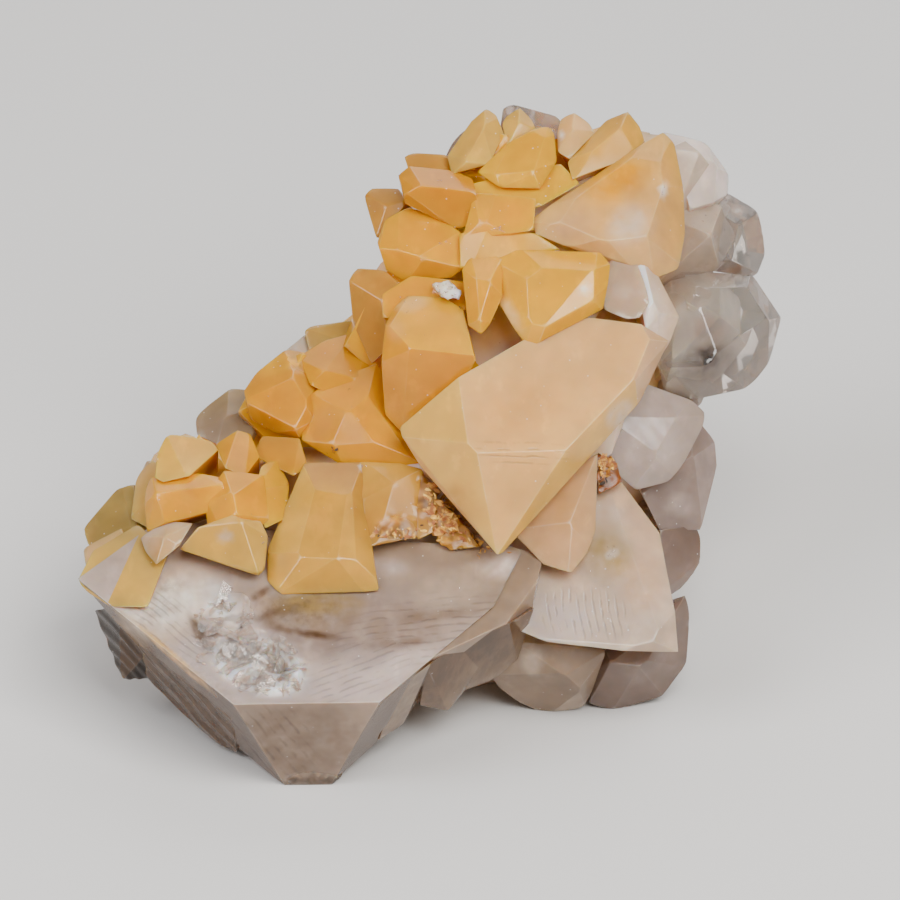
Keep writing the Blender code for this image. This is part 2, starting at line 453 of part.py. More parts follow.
def crystal_faces(points):
    """The planes (normal, distance) of a crystal's flat faces: hull facets that nearly agree are one face."""
    shape = hull(points)
    facets = sorted(
        ((face.calc_area(), np.array(face.normal), np.array(face.calc_center_median())) for face in shape.faces),
        key=lambda facet: -facet[0],
    )
    shape.free()
    planes = []
    while facets:
        seed = facets[0][1]
        same = [facet for facet in facets if facet[1] @ seed > math.cos(FACE_MERGE)]
        facets = [facet for facet in facets if facet[1] @ seed <= math.cos(FACE_MERGE)]
        area = sum(facet[0] for facet in same)
        normal = sum(facet[0] * facet[1] for facet in same)
        normal = normal / np.linalg.norm(normal)
        planes.append((normal, sum(facet[0] * (facet[2] @ normal) for facet in same) / area))
    return planes


def corners_between(planes):
    """The corners of the convex solid that some planes bound."""
    found = []
    for trio in itertools.combinations(planes, 3):
        normals = np.array([plane[0] for plane in trio])
        if abs(np.linalg.det(normals)) < 1e-3:
            continue
        corner = np.linalg.solve(normals, np.array([plane[1] for plane in trio]))
        if all(plane[0] @ corner <= plane[1] + 1e-8 for plane in planes):
            found.append(corner)
    return found


def add_solid(name, shape, family):
    """Puts a bmesh in the family collection, for the union to read."""
    bmesh.ops.dissolve_limit(shape, angle_limit=math.radians(0.3), verts=shape.verts, edges=shape.edges)
    mesh = bpy.data.meshes.new(name)
    shape.to_mesh(mesh)
    shape.free()
    family.objects.link(helper(name, mesh))


def drawn_crystal(corners, root):
    """A crystal with flat faces through its drawn corners, narrowing to its root."""
    middle = np.mean(corners, axis=0)
    behind = [np.array(root) + ROOT_SHARE * (np.array(corner) - middle) for corner in corners]
    points = [on_sheet(*corner) for corner in [*corners, *behind]]
    return hull(corners_between(crystal_faces(points)))


def along(line, spacing):
    """Points about this far apart on a line in plan, each with the direction that faces away from the mass."""
    ends = [Vector(end) for end in line]
    steps = [(after - before).length for before, after in itertools.pairwise(ends)]
    count = round(sum(steps) / spacing)
    for place in range(count + 1):
        left = sum(steps) * place / count
        leg = 0
        while leg < len(steps) - 1 and left > steps[leg]:
            left -= steps[leg]
            leg += 1
        course = (ends[leg + 1] - ends[leg]) / steps[leg]
        yield ends[leg] + course * left, Vector((course.y, -course.x, 0))


def back_crystals():
    """Six-sided crystals with three-faced tips, standing out of the mass where the front ones stop."""
    pick = random.Random(BACK_SEED)
    for height, rise, line in BACK_ROWS:
        for spot, outward in along(line, BACK_SPACING):
            aim = math.radians(rise + pick.uniform(-13, 13))
            turned = Matrix.Rotation(math.radians(pick.uniform(-15, 15)), 3, "Z") @ outward
            axis = (turned * math.cos(aim) + Vector((0, 0, math.sin(aim)))).normalized()
            place = Vector(in_frame(spot.x + pick.uniform(-1, 1), spot.y, height + pick.uniform(-1.3, 1.3)))
            width = pick.uniform(*BACK_WIDTHS)
            steep = pick.choice((CLEAVAGE_RISE, NAILHEAD_RISE))
            tip = place + axis * (BACK_PROUD + pick.uniform(-0.6, 1.0)) * MM
            yield f"back_{height:.0f}_{spot.x:.1f}", six_sided(tip, axis, pick.uniform(0, 120), width, steep)


def six_sided(tip, axis, turn, width, steep):
    """A prism under a three-faced tip."""
    side = axis.orthogonal().normalized()
    points = [tip]
    for corner in range(6):
        out = Matrix.Rotation(math.radians(turn + 60 * corner), 3, axis) @ side
        drop = steep * width * (1.0 if corner % 2 == 0 else 0.5)
        points.append(tip + (out * width - axis * drop) * MM)
        points.append(tip + (out * width * 0.8 - axis * BACK_LENGTH) * MM)
    return hull(points)


def helper(name, mesh):
    """An object that a Boolean reads and no render shows."""
    shown = bpy.data.objects.new(name, mesh)
    shown.hide_render = True
    shown.display_type = "WIRE"
    return shown


def grown_together(family):
    """One mesh of all the crystals, with the pockets sealed inside it filled."""
    first = family.objects["core_low"]
    family.objects.unlink(first)
    bpy.context.scene.collection.objects.link(first)
    union = first.modifiers.new("grown together", "BOOLEAN")
    union.operation = "UNION"
    union.solver = "MANIFOLD"  # EXACT leaves open edges in a union of this many crystals
    union.operand_type = "COLLECTION"
    union.collection = family
    joined = bpy.data.meshes.new_from_object(first.evaluated_get(bpy.context.evaluated_depsgraph_get()))
    shape = bmesh.new()
    shape.from_mesh(joined)
    skins = []
    unseen = set(shape.verts)
    while unseen:
        skin = set()
        edge = {unseen.pop()}
        while edge:
            skin |= edge
            edge = {link.other_vert(vert) for vert in edge for link in vert.link_edges} - skin
        unseen -= skin
        skins.append(skin)
    outside = max(skins, key=len)
    bmesh.ops.delete(shape, geom=[vert for vert in shape.verts if vert not in outside], context="VERTS")
    shape.to_mesh(joined)
    shape.free()
    return joined


def main():
    for old in list(bpy.data.objects):
        bpy.data.objects.remove(old)
    family = bpy.data.collections.new("crystals")
    bpy.context.scene.collection.children.link(family)
    for name, (corners, root) in CRYSTALS.items():
        add_solid(name, drawn_crystal(corners, root), family)
    for name, points in CORES.items():
        add_solid(name, hull([in_frame(*point) for point in points]), family)
    for name, shape in back_crystals():
        add_solid(name, shape, family)

    cluster = bpy.data.objects.new("calcite_cluster", grown_together(family))
    bpy.context.scene.collection.objects.link(cluster)

    block = bmesh.new()
    bmesh.ops.create_cube(block, size=FLOOR_BLOCK * MM, matrix=Matrix.Translation((0, 0, -FLOOR_BLOCK / 2 * MM)))
    floor_mesh = bpy.data.meshes.new("floor_cut")
    block.to_mesh(floor_mesh)
    block.free()
    floor_cut = helper("floor_cut", floor_mesh)
    bpy.context.scene.collection.objects.link(floor_cut)
    rest = cluster.modifiers.new("flat where it rests", "BOOLEAN")
    rest.operation = "DIFFERENCE"
    rest.solver = "MANIFOLD"
    rest.object = floor_cut

    calcite = bpy.data.materials.new("yellow_calcite")
    calcite.use_nodes = True
    shader = calcite.node_tree.nodes["Principled BSDF"]
    shader.inputs["Base Color"].default_value = HONEY
    shader.inputs["Roughness"].default_value = 0.25
    shader.inputs["Metallic"].default_value = 0.0
    cluster.data.materials.clear()
    cluster.data.materials.append(calcite)


main()
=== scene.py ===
"""The looks of a hand-sized cluster of yellow and colourless calcite crystals.

The crystals are drawn as in the solid, by their corners on a sheet that leans back by LEAN, then given
worn edges, joined, cut flat where they rest, divided finely and carved with ridges and broken patches.
Their colour is laid on corner by corner, and the shader adds veils, fibres, growth lines and fine grain.
"""

import itertools
import json
import math
import random

import bmesh
import bpy
import numpy as np
from mathutils import Matrix, Vector, noise
from mathutils.bvhtree import BVHTree
from mathutils.geometry import delaunay_2d_cdt

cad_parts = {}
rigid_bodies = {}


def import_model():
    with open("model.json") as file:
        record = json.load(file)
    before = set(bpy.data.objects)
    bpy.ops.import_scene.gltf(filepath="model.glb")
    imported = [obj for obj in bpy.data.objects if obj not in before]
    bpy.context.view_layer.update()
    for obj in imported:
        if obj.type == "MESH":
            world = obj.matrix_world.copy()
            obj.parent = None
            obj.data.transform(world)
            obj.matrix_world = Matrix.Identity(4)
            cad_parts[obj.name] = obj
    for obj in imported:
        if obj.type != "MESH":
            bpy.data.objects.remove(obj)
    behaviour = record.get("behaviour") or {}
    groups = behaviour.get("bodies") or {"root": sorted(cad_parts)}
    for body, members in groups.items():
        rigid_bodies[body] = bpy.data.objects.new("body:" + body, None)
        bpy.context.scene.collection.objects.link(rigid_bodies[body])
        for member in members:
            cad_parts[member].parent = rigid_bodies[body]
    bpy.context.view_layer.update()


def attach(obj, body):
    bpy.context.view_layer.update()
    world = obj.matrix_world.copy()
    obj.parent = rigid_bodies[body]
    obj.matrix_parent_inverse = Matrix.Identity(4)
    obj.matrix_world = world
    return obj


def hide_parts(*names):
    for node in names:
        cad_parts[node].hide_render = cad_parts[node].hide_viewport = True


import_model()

MM = 0.001

# The leaning sheet: its angle, how far down the foot lies, and the point that lies over the frame's origin.
LEAN = math.radians(30)
FOOT_DOWN = 78.5
ORIGIN_X = 43.0
ORIGIN_Y = 28.0

# A crystal's root is this share of its drawn part. Hull facets within FACE_MERGE of each other are one face.
ROOT_SHARE = 0.45
FACE_MERGE = math.radians(13)

# The block that cuts the foot flat, and the numbers kept free for each crystal's faces.
FLOOR_BLOCK = 200.0
FACETS_EACH = 100

# The camera in mm: the sheet point at the middle of its view, how far off it stands, how wide a view it
# takes in, and its sensor.
VIEW_MIDDLE = (45.0, 45.0, 14.0)
VIEW_AWAY = 2000.0
VIEW_WIDTH = 90.0
SENSOR = 36.0

# Each crystal: its corners, then the point in the mass that it grows from.
CRYSTALS = {
    # the big colourless prow and the broken plates on its flanks
    "prow": (
        [(8.0, 57.8, 2.4), (23.6, 70.2, -8.2), (38.1, 69.9, -7.9), (44.1, 64.9, -3.7), (49.5, 60.4, 0.2),
         (52.0, 55.0, 4.8), (16.0, 52.0, 7.3), (28.6, 78.3, 0.5), (33.2, 78.3, 0.5),
         (25.2, 75.4, 3.0), (20.3, 71.8, 6.0), (12.2, 61.8, 8.0)],
        (34.0, 60.0, 22.0),
    ),
    "prow_shoulder": (
        [(43.0, 65.7, -4.3), (47.0, 63.3, -2.1), (50.6, 62.2, -1.0), (53.6, 58.2, 2.5), (54.3, 55.6, 4.7),
         (46.0, 53.0, 6.5), (43.0, 58.0, 2.3), (44.0, 68.6, 4.4), (52.8, 63.0, 4.4)],
        (46.0, 60.0, 20.0),
    ),
    "prow_cheek": (
        [(7.8, 57.9, 3.0), (9.6, 55.0, 6.0), (14.0, 52.5, 7.5), (17.0, 55.0, 3.6), (15.0, 60.5, -0.6),
         (11.0, 60.4, 0.6), (9.0, 59.2, 2.4)],
        (16.0, 56.0, 14.0),
    ),
    "plate_left_high": (
        [(9.7, 61.0, 6.6), (10.8, 63.4, 7.6), (11.5, 66.1, 8.8), (12.4, 67.9, 9.6),
         (14.7, 67.8, 8.6), (16.0, 64.0, 1.6), (12.0, 60.4, 0.8)],
        (20.0, 63.0, 18.0),
    ),
    "plate_left_low": (
        [(14.0, 62.5, 0.0), (14.9, 67.6, 8.0), (17.4, 70.4, 7.2), (20.0, 72.9, 6.4), (22.6, 74.6, 5.2),
         (23.7, 75.1, 4.6), (24.1, 74.3, 3.0), (23.4, 70.6, -5.6)],
        (26.0, 67.0, 14.0),
    ),
    "plate_right_1": (
        [(38.2, 70.0, -7.4), (41.4, 67.3, -5.2), (34.1, 77.3, 0.8), (36.4, 74.7, 2.2), (37.7, 74.1, 3.0),
         (39.6, 70.9, 2.0)],
        (36.0, 67.0, 14.0),
    ),
    "plate_right_2": (
        [(39.6, 68.8, -6.0), (43.4, 65.8, -3.6), (37.9, 73.7, 2.8), (39.4, 72.4, 3.2), (40.2, 72.5, 3.8),
         (41.7, 70.0, 3.2)],
        (38.5, 66.0, 14.0),
    ),
    "plate_right_3": (
        [(42.6, 66.4, -4.0), (47.2, 63.5, -1.8), (42.0, 70.4, 4.2), (43.4, 70.0, 4.8), (44.8, 71.0, 6.0),
         (46.4, 69.1, 6.4), (48.4, 65.8, 3.6)],
        (42.5, 64.5, 15.0),
    ),
    "plate_right_4": (
        [(46.2, 64.2, -2.2), (50.8, 62.3, -0.9), (46.4, 69.0, 6.6), (47.9, 67.9, 7.0), (49.4, 67.8, 7.8),
         (51.8, 65.8, 6.8), (53.4, 60.6, 2.0)],
        (47.0, 62.5, 16.0),
    ),
    # the small yellow crystals on the left shoulder
    "left_cap": (
        [(15.6, 47.8, 6.4), (15.8, 45.4, 8.4), (16.6, 43.7, 9.6), (17.3, 43.4, 9.8), (21.2, 44.1, 9.2),
         (21.9, 45.0, 8.2), (19.0, 47.6, 5.2), (16.4, 48.2, 5.6)],
        (20.0, 48.0, 16.0),
    ),
    "left_spire": (
        [(21.6, 44.4, 9.4), (23.8, 43.0, 10.0), (25.1, 43.4, 10.2), (26.0, 45.7, 8.6), (24.6, 47.6, 5.0),
         (22.6, 46.8, 5.0)],
        (25.0, 48.0, 16.0),
    ),
    "left_tip": (
        [(26.8, 46.2, 8.6), (27.8, 46.0, 9.0), (29.0, 48.4, 7.6), (28.8, 50.5, 6.2), (28.3, 52.0, 4.8),
         (26.6, 52.8, 2.8), (25.5, 49.0, 4.0), (26.2, 46.6, 7.4)],
        (27.0, 50.0, 14.0),
    ),
    "left_block": (
        [(14.7, 48.9, 7.2), (15.3, 47.7, 7.4), (20.0, 47.3, 6.0), (22.2, 47.7, 5.2), (15.7, 49.3, 4.4),
         (22.4, 48.4, 3.6), (22.6, 49.6, 3.2), (21.0, 51.2, 3.4), (16.6, 52.3, 4.0), (14.6, 50.4, 6.0),
         (14.8, 53.2, 5.8)],
        (20.0, 51.0, 13.0),
    ),
    "left_heart": (
        [(23.3, 49.3, 2.2), (24.0, 51.3, 1.2), (22.0, 52.2, 2.0), (22.5, 47.0, 5.0), (26.5, 47.5, 5.4),
         (27.0, 52.0, 3.2), (25.5, 53.0, 2.2), (21.0, 53.0, 3.0), (20.5, 50.0, 4.0)],
        (24.0, 51.0, 12.0),
    ),
    "left_fang": (
        [(18.1, 54.9, 2.6), (19.9, 52.7, 2.0), (23.5, 51.4, 1.4), (24.3, 52.1, 0.8), (25.9, 57.1, 0.4),
         (25.4, 57.3, 0.8), (22.9, 56.4, 1.6), (26.2, 52.1, 2.6), (26.9, 53.6, 2.2), (26.6, 56.9, 1.4),
         (26.0, 57.5, 1.0)],
        (22.5, 54.0, 10.0),
    ),
    "left_glassy_tooth": (
        [(14.2, 53.8, 4.8), (15.1, 53.0, 5.0), (17.3, 52.1, 4.4), (19.4, 52.3, 3.2), (18.1, 54.5, 2.0),
         (15.8, 56.4, 1.6), (14.7, 55.1, 3.6), (16.6, 53.6, 2.2)],
        (17.5, 54.0, 10.0),
    ),
    "left_shard": (
        [(15.5, 46.0, 12.0), (14.2, 46.9, 12.4), (13.6, 48.0, 12.2), (13.2, 51.9, 9.4), (15.4, 53.0, 7.6),
         (16.4, 48.0, 9.0)],
        (18.0, 50.0, 17.0),
    ),
    "left_olive": (
        [(13.4, 48.4, 13.2), (11.8, 49.0, 13.8), (10.9, 50.2, 13.8), (10.3, 51.0, 13.6), (8.4, 52.7, 13.0),
         (8.3, 53.2, 12.6), (9.0, 54.6, 11.2), (12.3, 51.9, 10.4), (13.8, 53.4, 8.4)],
        (16.0, 52.0, 19.0),
    ),
    "left_corner_bit": (
        [(8.4, 54.9, 9.6), (8.8, 54.6, 9.4), (12.2, 52.8, 9.0), (13.2, 55.6, 6.2), (9.0, 57.4, 5.4),
         (8.6, 56.2, 7.2)],
        (14.0, 56.0, 14.0),
    ),
    # the yellow crystals left of the middle
    "lemon_table": (
        [(26.9, 54.7, 3.4), (27.7, 53.8, 3.8), (30.1, 50.9, 5.0), (30.5, 46.3, 8.4), (36.1, 46.2, 7.8),
         (37.2, 54.5, 2.6), (37.9, 58.8, 1.0), (36.4, 59.2, 0.8), (28.1, 59.2, 1.0), (26.8, 58.0, 2.0),
         (31.5, 49.0, 5.2), (35.0, 49.5, 4.4), (29.9, 55.8, 0.8), (33.7, 55.7, 0.0), (36.0, 55.9, 0.4)],
        (32.5, 53.0, 14.0),
    ),
    "lemon_wall": (
        [(36.0, 46.2, 8.2), (40.0, 46.3, 7.6), (42.2, 46.9, 7.0), (42.0, 53.6, 4.6), (41.2, 53.6, 4.2),
         (39.5, 52.1, 4.2), (38.0, 53.4, 3.6), (37.2, 54.6, 2.8), (36.2, 50.0, 5.0), (39.6, 48.2, 5.4)],
        (39.0, 50.0, 15.0),
    ),
    "orange_left": (
        [(24.4, 39.2, 14.4), (25.6, 37.2, 15.6), (28.7, 34.9, 16.8), (30.4, 35.2, 16.4), (31.8, 38.0, 13.6),
         (31.5, 42.0, 11.0), (30.0, 43.9, 11.0), (27.5, 43.3, 12.4), (25.0, 41.9, 13.8), (24.7, 40.2, 12.8),
         (29.6, 43.0, 9.8), (29.4, 37.4, 12.8), (30.6, 40.6, 10.4)],
        (30.5, 40.0, 22.0),
    ),
    "orange_crest": (
        [(29.8, 35.6, 15.6), (31.3, 35.4, 16.0), (32.4, 34.1, 17.0), (34.9, 33.4, 17.0), (36.6, 34.9, 15.4),
         (37.6, 37.5, 13.2), (34.0, 40.0, 11.2), (31.0, 38.5, 12.2), (33.6, 36.0, 13.8), (32.0, 37.5, 12.6),
         (35.6, 37.6, 12.2)],
        (34.0, 38.0, 22.0),
    ),
    "orange_right": (
        [(31.0, 39.6, 12.0), (33.0, 38.0, 12.6), (37.8, 36.4, 13.2), (38.4, 41.1, 10.8), (40.2, 43.0, 9.4),
         (42.3, 46.6, 7.6), (34.0, 46.4, 9.0), (30.1, 44.0, 10.4), (34.5, 41.0, 9.2), (36.8, 40.0, 9.8),
         (37.5, 44.0, 7.8), (33.6, 44.6, 8.4)],
        (36.5, 41.5, 20.0),
    ),
    "orange_foot": (
        [(26.2, 43.6, 11.4), (30.0, 43.8, 10.6), (30.8, 46.6, 8.6), (29.4, 47.6, 7.4), (28.0, 46.4, 8.6),
         (25.4, 45.6, 9.8)],
        (29.0, 46.0, 16.0),
    ),
    "green_back_tip": (
        [(30.4, 33.1, 18.6), (31.0, 32.6, 19.0), (35.1, 32.0, 18.6), (35.9, 34.0, 17.4), (36.5, 36.0, 16.4),
         (31.0, 35.5, 17.8)],
        (34.0, 36.0, 24.0),
    ),
    "pale_back_tip": (
        [(26.9, 36.4, 18.6), (28.2, 35.4, 19.0), (29.9, 34.3, 19.0), (30.5, 33.4, 19.2), (31.4, 36.0, 18.0),
         (27.5, 38.2, 17.2)],
        (31.0, 37.5, 24.0),
    ),
    "grey_back_left": (
        [(19.5, 41.8, 18.6), (20.2, 40.9, 19.0), (21.7, 40.0, 19.4), (23.1, 38.9, 19.6), (24.6, 38.9, 19.0),
         (26.4, 41.0, 16.8), (25.0, 44.0, 15.4), (21.6, 44.4, 15.4), (19.7, 43.5, 17.0), (22.5, 41.5, 16.6)],
        (25.0, 43.5, 24.0),
    ),
    # the large peach crystal and the amber blocks beside it
    "peach_spear": (
        [(47.7, 45.3, 0.0), (56.2, 45.1, 0.1), (63.0, 38.6, 3.4), (64.9, 34.0, 5.7), (64.0, 32.4, 6.6),
         (57.5, 31.8, 6.9), (51.0, 34.6, 5.4), (46.6, 37.4, 4.0), (45.9, 39.6, 3.0), (46.6, 43.4, 1.0),
         (49.6, 55.3, 0.6), (40.0, 43.3, 5.4), (42.1, 46.7, 5.2), (45.6, 50.5, 3.4), (53.6, 50.3, 3.4),
         (59.9, 45.0, 6.0), (64.7, 38.6, 8.4), (66.8, 34.2, 9.6), (44.4, 39.0, 4.6)],
        (56.0, 41.0, 19.0),
    ),
    "amber_block": (
        [(38.6, 32.6, 8.0), (41.2, 34.7, 5.4), (47.6, 36.0, 4.6), (46.8, 33.0, 7.0), (46.3, 30.9, 9.0),
         (44.4, 29.8, 10.2), (40.7, 29.6, 10.6), (39.3, 30.9, 9.8), (38.2, 36.3, 7.4), (38.5, 41.4, 9.0),
         (40.1, 43.2, 8.4), (46.2, 38.6, 5.8)],
        (44.0, 37.0, 17.0),
    ),
    "amber_hollow": (
        [(38.2, 29.4, 11.6), (41.2, 27.6, 12.0), (46.6, 28.2, 10.8), (47.0, 31.0, 9.8), (41.0, 32.0, 10.4),
         (38.3, 31.8, 11.0)],
        (42.0, 31.0, 18.0),
    ),
    "white_chip": (
        [(43.2, 28.4, 9.6), (44.8, 28.1, 9.0), (46.1, 29.1, 8.8), (45.9, 30.0, 8.6), (44.2, 29.7, 8.8)],
        (44.8, 29.4, 13.0),
    ),
    "pale_back_left": (
        [(35.0, 27.9, 14.0), (35.7, 26.8, 14.6), (38.4, 27.0, 14.0), (40.2, 28.6, 12.4), (39.0, 34.6, 11.2),
         (37.2, 36.4, 12.8), (35.2, 32.2, 13.6), (38.0, 30.0, 11.4)],
        (40.0, 32.0, 20.0),
    ),
    "amber_dome": (
        [(51.6, 25.0, 9.4), (57.4, 25.2, 8.6), (60.0, 25.3, 8.8), (60.9, 26.4, 8.2), (60.8, 28.5, 7.6),
         (60.2, 30.9, 7.2), (57.4, 32.5, 6.2), (53.5, 34.4, 5.6), (52.6, 34.4, 5.8), (51.6, 33.3, 6.0),
         (50.5, 31.3, 6.8), (49.8, 30.2, 7.6), (49.7, 26.0, 9.6), (52.6, 28.1, 6.2), (54.4, 26.8, 6.8),
         (59.4, 27.0, 6.2), (59.3, 30.0, 5.6), (54.5, 32.8, 4.4), (53.0, 32.6, 4.8)],
        (55.5, 30.0, 18.0),
    ),
    "amber_blade": (
        [(46.2, 27.0, 9.4), (47.0, 25.7, 10.0), (49.2, 25.5, 9.8), (50.2, 26.0, 9.2), (50.2, 29.8, 7.0),
         (48.9, 32.6, 5.8), (48.1, 33.5, 5.4), (46.8, 32.6, 6.4), (47.6, 28.0, 7.2), (49.0, 28.0, 6.8),
         (48.0, 32.0, 5.2)],
        (48.3, 30.0, 17.0),
    ),
    "window": (
        [(60.8, 26.2, 9.4), (63.4, 25.6, 9.4), (65.0, 30.0, 8.2), (64.4, 31.1, 7.6), (63.9, 31.8, 7.4),
         (62.6, 32.0, 7.2), (60.3, 31.0, 7.4)],
        (63.0, 29.5, 17.0),
    ),
    "window_frame": (
        [(63.2, 26.9, 9.2), (64.0, 26.5, 9.2), (65.5, 30.2, 7.9), (64.8, 30.7, 7.7), (65.5, 27.2, 10.4),
         (67.4, 30.7, 10.8), (67.8, 31.8, 10.8), (66.9, 34.4, 10.2), (65.2, 36.6, 9.0), (64.5, 33.0, 7.4),
         (65.9, 31.6, 8.0)],
        (64.0, 31.5, 18.0),
    ),
    # the crown of yellow crystals at the top
    "big_shoulder": (
        [(53.1, 22.2, 10.6), (53.6, 23.5, 9.8), (56.5, 24.6, 9.0), (60.4, 25.5, 8.6), (62.2, 25.8, 8.6),
         (64.4, 25.1, 9.2), (65.4, 27.9, 10.2), (67.7, 27.0, 12.0), (68.4, 24.2, 13.0), (68.5, 20.3, 14.0),
         (68.0, 17.0, 15.2), (67.2, 14.0, 16.4), (66.5, 13.3, 16.6), (63.1, 15.3, 14.2), (57.0, 19.0, 12.2),
         (63.0, 15.9, 13.0), (57.5, 19.6, 10.6), (55.0, 22.5, 9.0), (60.5, 24.0, 7.4), (64.8, 24.0, 8.2),
         (66.3, 19.0, 11.2), (66.2, 15.6, 13.8)],
        (61.5, 21.5, 23.0),
    ),
    "crown_blade": (
        [(56.8, 16.4, 13.8), (59.7, 12.9, 17.0), (60.9, 11.8, 17.6), (62.8, 11.2, 17.6), (64.0, 12.6, 17.4),
         (64.5, 14.0, 16.6), (63.3, 15.6, 14.4), (62.4, 12.4, 15.8), (59.6, 14.8, 13.8), (57.2, 18.0, 12.2)],
        (61.0, 16.5, 23.0),
    ),
    "crown_tooth": (
        [(55.7, 13.3, 16.4), (56.1, 11.8, 17.8), (57.4, 11.2, 17.8), (58.9, 12.2, 17.4), (59.5, 13.3, 16.6),
         (58.3, 14.4, 15.0), (57.0, 15.9, 14.0), (55.8, 15.2, 14.6), (57.3, 12.8, 15.6)],
        (57.5, 15.5, 23.0),
    ),
    "crown_slab": (
        [(47.7, 17.2, 13.8), (50.9, 14.2, 14.6), (53.6, 12.8, 15.2), (54.9, 12.6, 15.4), (55.4, 13.2, 15.2),
         (55.7, 16.1, 13.6), (54.0, 18.9, 11.8), (50.0, 18.8, 12.0), (54.3, 14.0, 13.8), (53.4, 17.4, 11.6),
         (49.6, 17.4, 12.2)],
        (52.5, 17.0, 22.0),
    ),
    "crown_left": (
        [(44.7, 15.6, 17.0), (46.4, 13.1, 18.0), (47.2, 12.0, 18.2), (48.7, 10.8, 18.2), (49.6, 11.4, 17.8),
         (50.4, 13.3, 16.6), (49.0, 16.4, 14.0), (45.2, 17.4, 15.2), (48.4, 12.6, 16.0), (46.6, 16.2, 14.2)],
        (49.0, 15.5, 24.0),
    ),
    "crown_step": (
        [(47.2, 18.6, 13.4), (50.0, 17.6, 13.6), (56.2, 16.6, 14.0), (58.0, 18.4, 12.2), (54.2, 20.6, 11.2),
         (49.4, 20.8, 11.6), (47.4, 20.4, 12.4)],
        (52.5, 18.0, 22.0),
    ),
    "crown_bud": (
        [(50.2, 12.4, 17.4), (50.6, 11.6, 17.8), (52.0, 10.7, 18.0), (53.2, 11.9, 17.6), (53.6, 12.9, 16.8),
         (50.8, 14.8, 15.6), (51.9, 12.2, 16.2)],
        (52.0, 14.5, 23.0),
    ),
    "crown_glass": (
        [(50.3, 10.7, 20.6), (51.1, 10.4, 20.8), (53.1, 10.7, 20.8), (55.8, 11.7, 20.6), (57.0, 13.0, 20.0),
         (50.0, 13.0, 19.6)],
        (53.0, 14.5, 26.0),
    ),
    "crown_glass_left": (
        [(44.5, 15.7, 18.6), (45.2, 14.2, 19.0), (46.5, 12.9, 19.4), (48.0, 13.0, 19.0), (47.0, 17.0, 17.6)],
        (48.5, 16.5, 25.0),
    ),
    "brown_chip": (
        [(40.4, 15.6, 18.4), (41.3, 15.2, 18.6), (44.6, 15.4, 18.0), (45.5, 17.0, 17.2), (41.0, 17.4, 16.8)],
        (44.0, 18.0, 23.0),
    ),
    "brow": (
        [(39.8, 17.5, 15.4), (40.9, 16.6, 16.0), (45.3, 17.0, 15.6), (47.2, 17.9, 14.6), (40.4, 19.4, 12.8),
         (41.6, 18.8, 12.2), (44.4, 18.7, 11.8), (47.6, 19.3, 11.6), (40.5, 20.4, 13.8), (43.3, 21.6, 13.2),
         (45.7, 22.9, 12.6), (47.8, 22.4, 12.2)],
        (45.0, 20.0, 22.0),
    ),
    "far_left_pale": (
        [(36.4, 19.6, 17.4), (37.2, 18.8, 17.8), (39.8, 18.8, 17.0), (40.7, 20.3, 15.6), (37.6, 23.8, 15.4),
         (38.7, 20.5, 15.6)],
        (41.5, 22.0, 22.0),
    ),
    "cheek": (
        [(37.7, 24.2, 13.8), (38.5, 22.0, 14.8), (40.9, 20.7, 15.0), (44.4, 22.0, 13.4), (46.1, 23.3, 12.0),
         (46.4, 26.8, 10.4), (42.6, 26.0, 10.6), (40.5, 25.1, 11.2), (37.9, 24.8, 12.8), (38.6, 27.0, 13.8),
         (40.5, 28.2, 13.4), (41.8, 27.6, 12.8), (45.2, 27.8, 11.6)],
        (43.5, 25.0, 21.0),
    ),
    "mid_block": (
        [(47.4, 19.4, 12.0), (49.2, 20.5, 10.8), (49.6, 19.4, 11.2), (53.6, 20.0, 10.6), (53.3, 23.1, 9.6),
         (51.0, 23.4, 9.4), (47.9, 22.4, 10.4), (46.2, 24.0, 11.0)],
        (50.0, 22.0, 20.0),
    ),
    "mid_ledge": (
        [(45.9, 23.4, 11.2), (49.0, 22.8, 10.2), (53.6, 23.4, 9.8), (56.0, 25.0, 9.4), (51.5, 25.4, 9.4),
         (47.0, 26.4, 9.6), (46.0, 26.9, 9.9)],
        (50.5, 25.0, 19.0),
    ),
    # the rust-stained steps under the peach crystal
    "rust_step_high": (
        [(42.0, 47.2, 7.0), (43.6, 48.5, 6.2), (43.3, 53.2, 4.6), (42.0, 53.8, 4.4), (41.6, 50.0, 5.6)],
        (43.0, 50.0, 14.0),
    ),
    "rust_step_low": (
        [(43.0, 49.4, 6.4), (45.2, 51.0, 5.6), (48.0, 54.6, 4.4), (45.0, 55.0, 4.2), (43.0, 53.0, 4.8)],
        (45.5, 52.5, 14.0),
    ),
    "rust_corner": (
        [(59.6, 45.6, 8.4), (61.6, 46.0, 8.8), (62.2, 48.2, 8.4), (59.8, 49.4, 7.4)],
        (60.5, 47.5, 15.0),
    ),
    # the pale crystals on the right
    "tan_wedge": (
        [(56.4, 47.4, 7.0), (59.7, 45.4, 8.2), (59.5, 53.0, 5.2), (58.6, 55.3, 4.4), (57.1, 57.2, 3.8),
         (54.3, 56.4, 4.0), (53.2, 54.9, 4.2), (51.2, 53.2, 4.8), (53.6, 50.1, 6.0), (57.0, 52.0, 3.8)],
        (57.0, 52.0, 15.0),
    ),
    "right_slab": (
        [(59.3, 49.5, 8.6), (61.9, 48.0, 10.0), (63.5, 50.1, 9.4), (65.6, 52.8, 8.4), (66.7, 57.2, 6.6),
         (67.5, 61.3, 5.0), (67.5, 65.0, 4.6), (64.9, 63.9, 3.0), (62.1, 65.0, 2.9), (57.5, 64.4, 2.9),
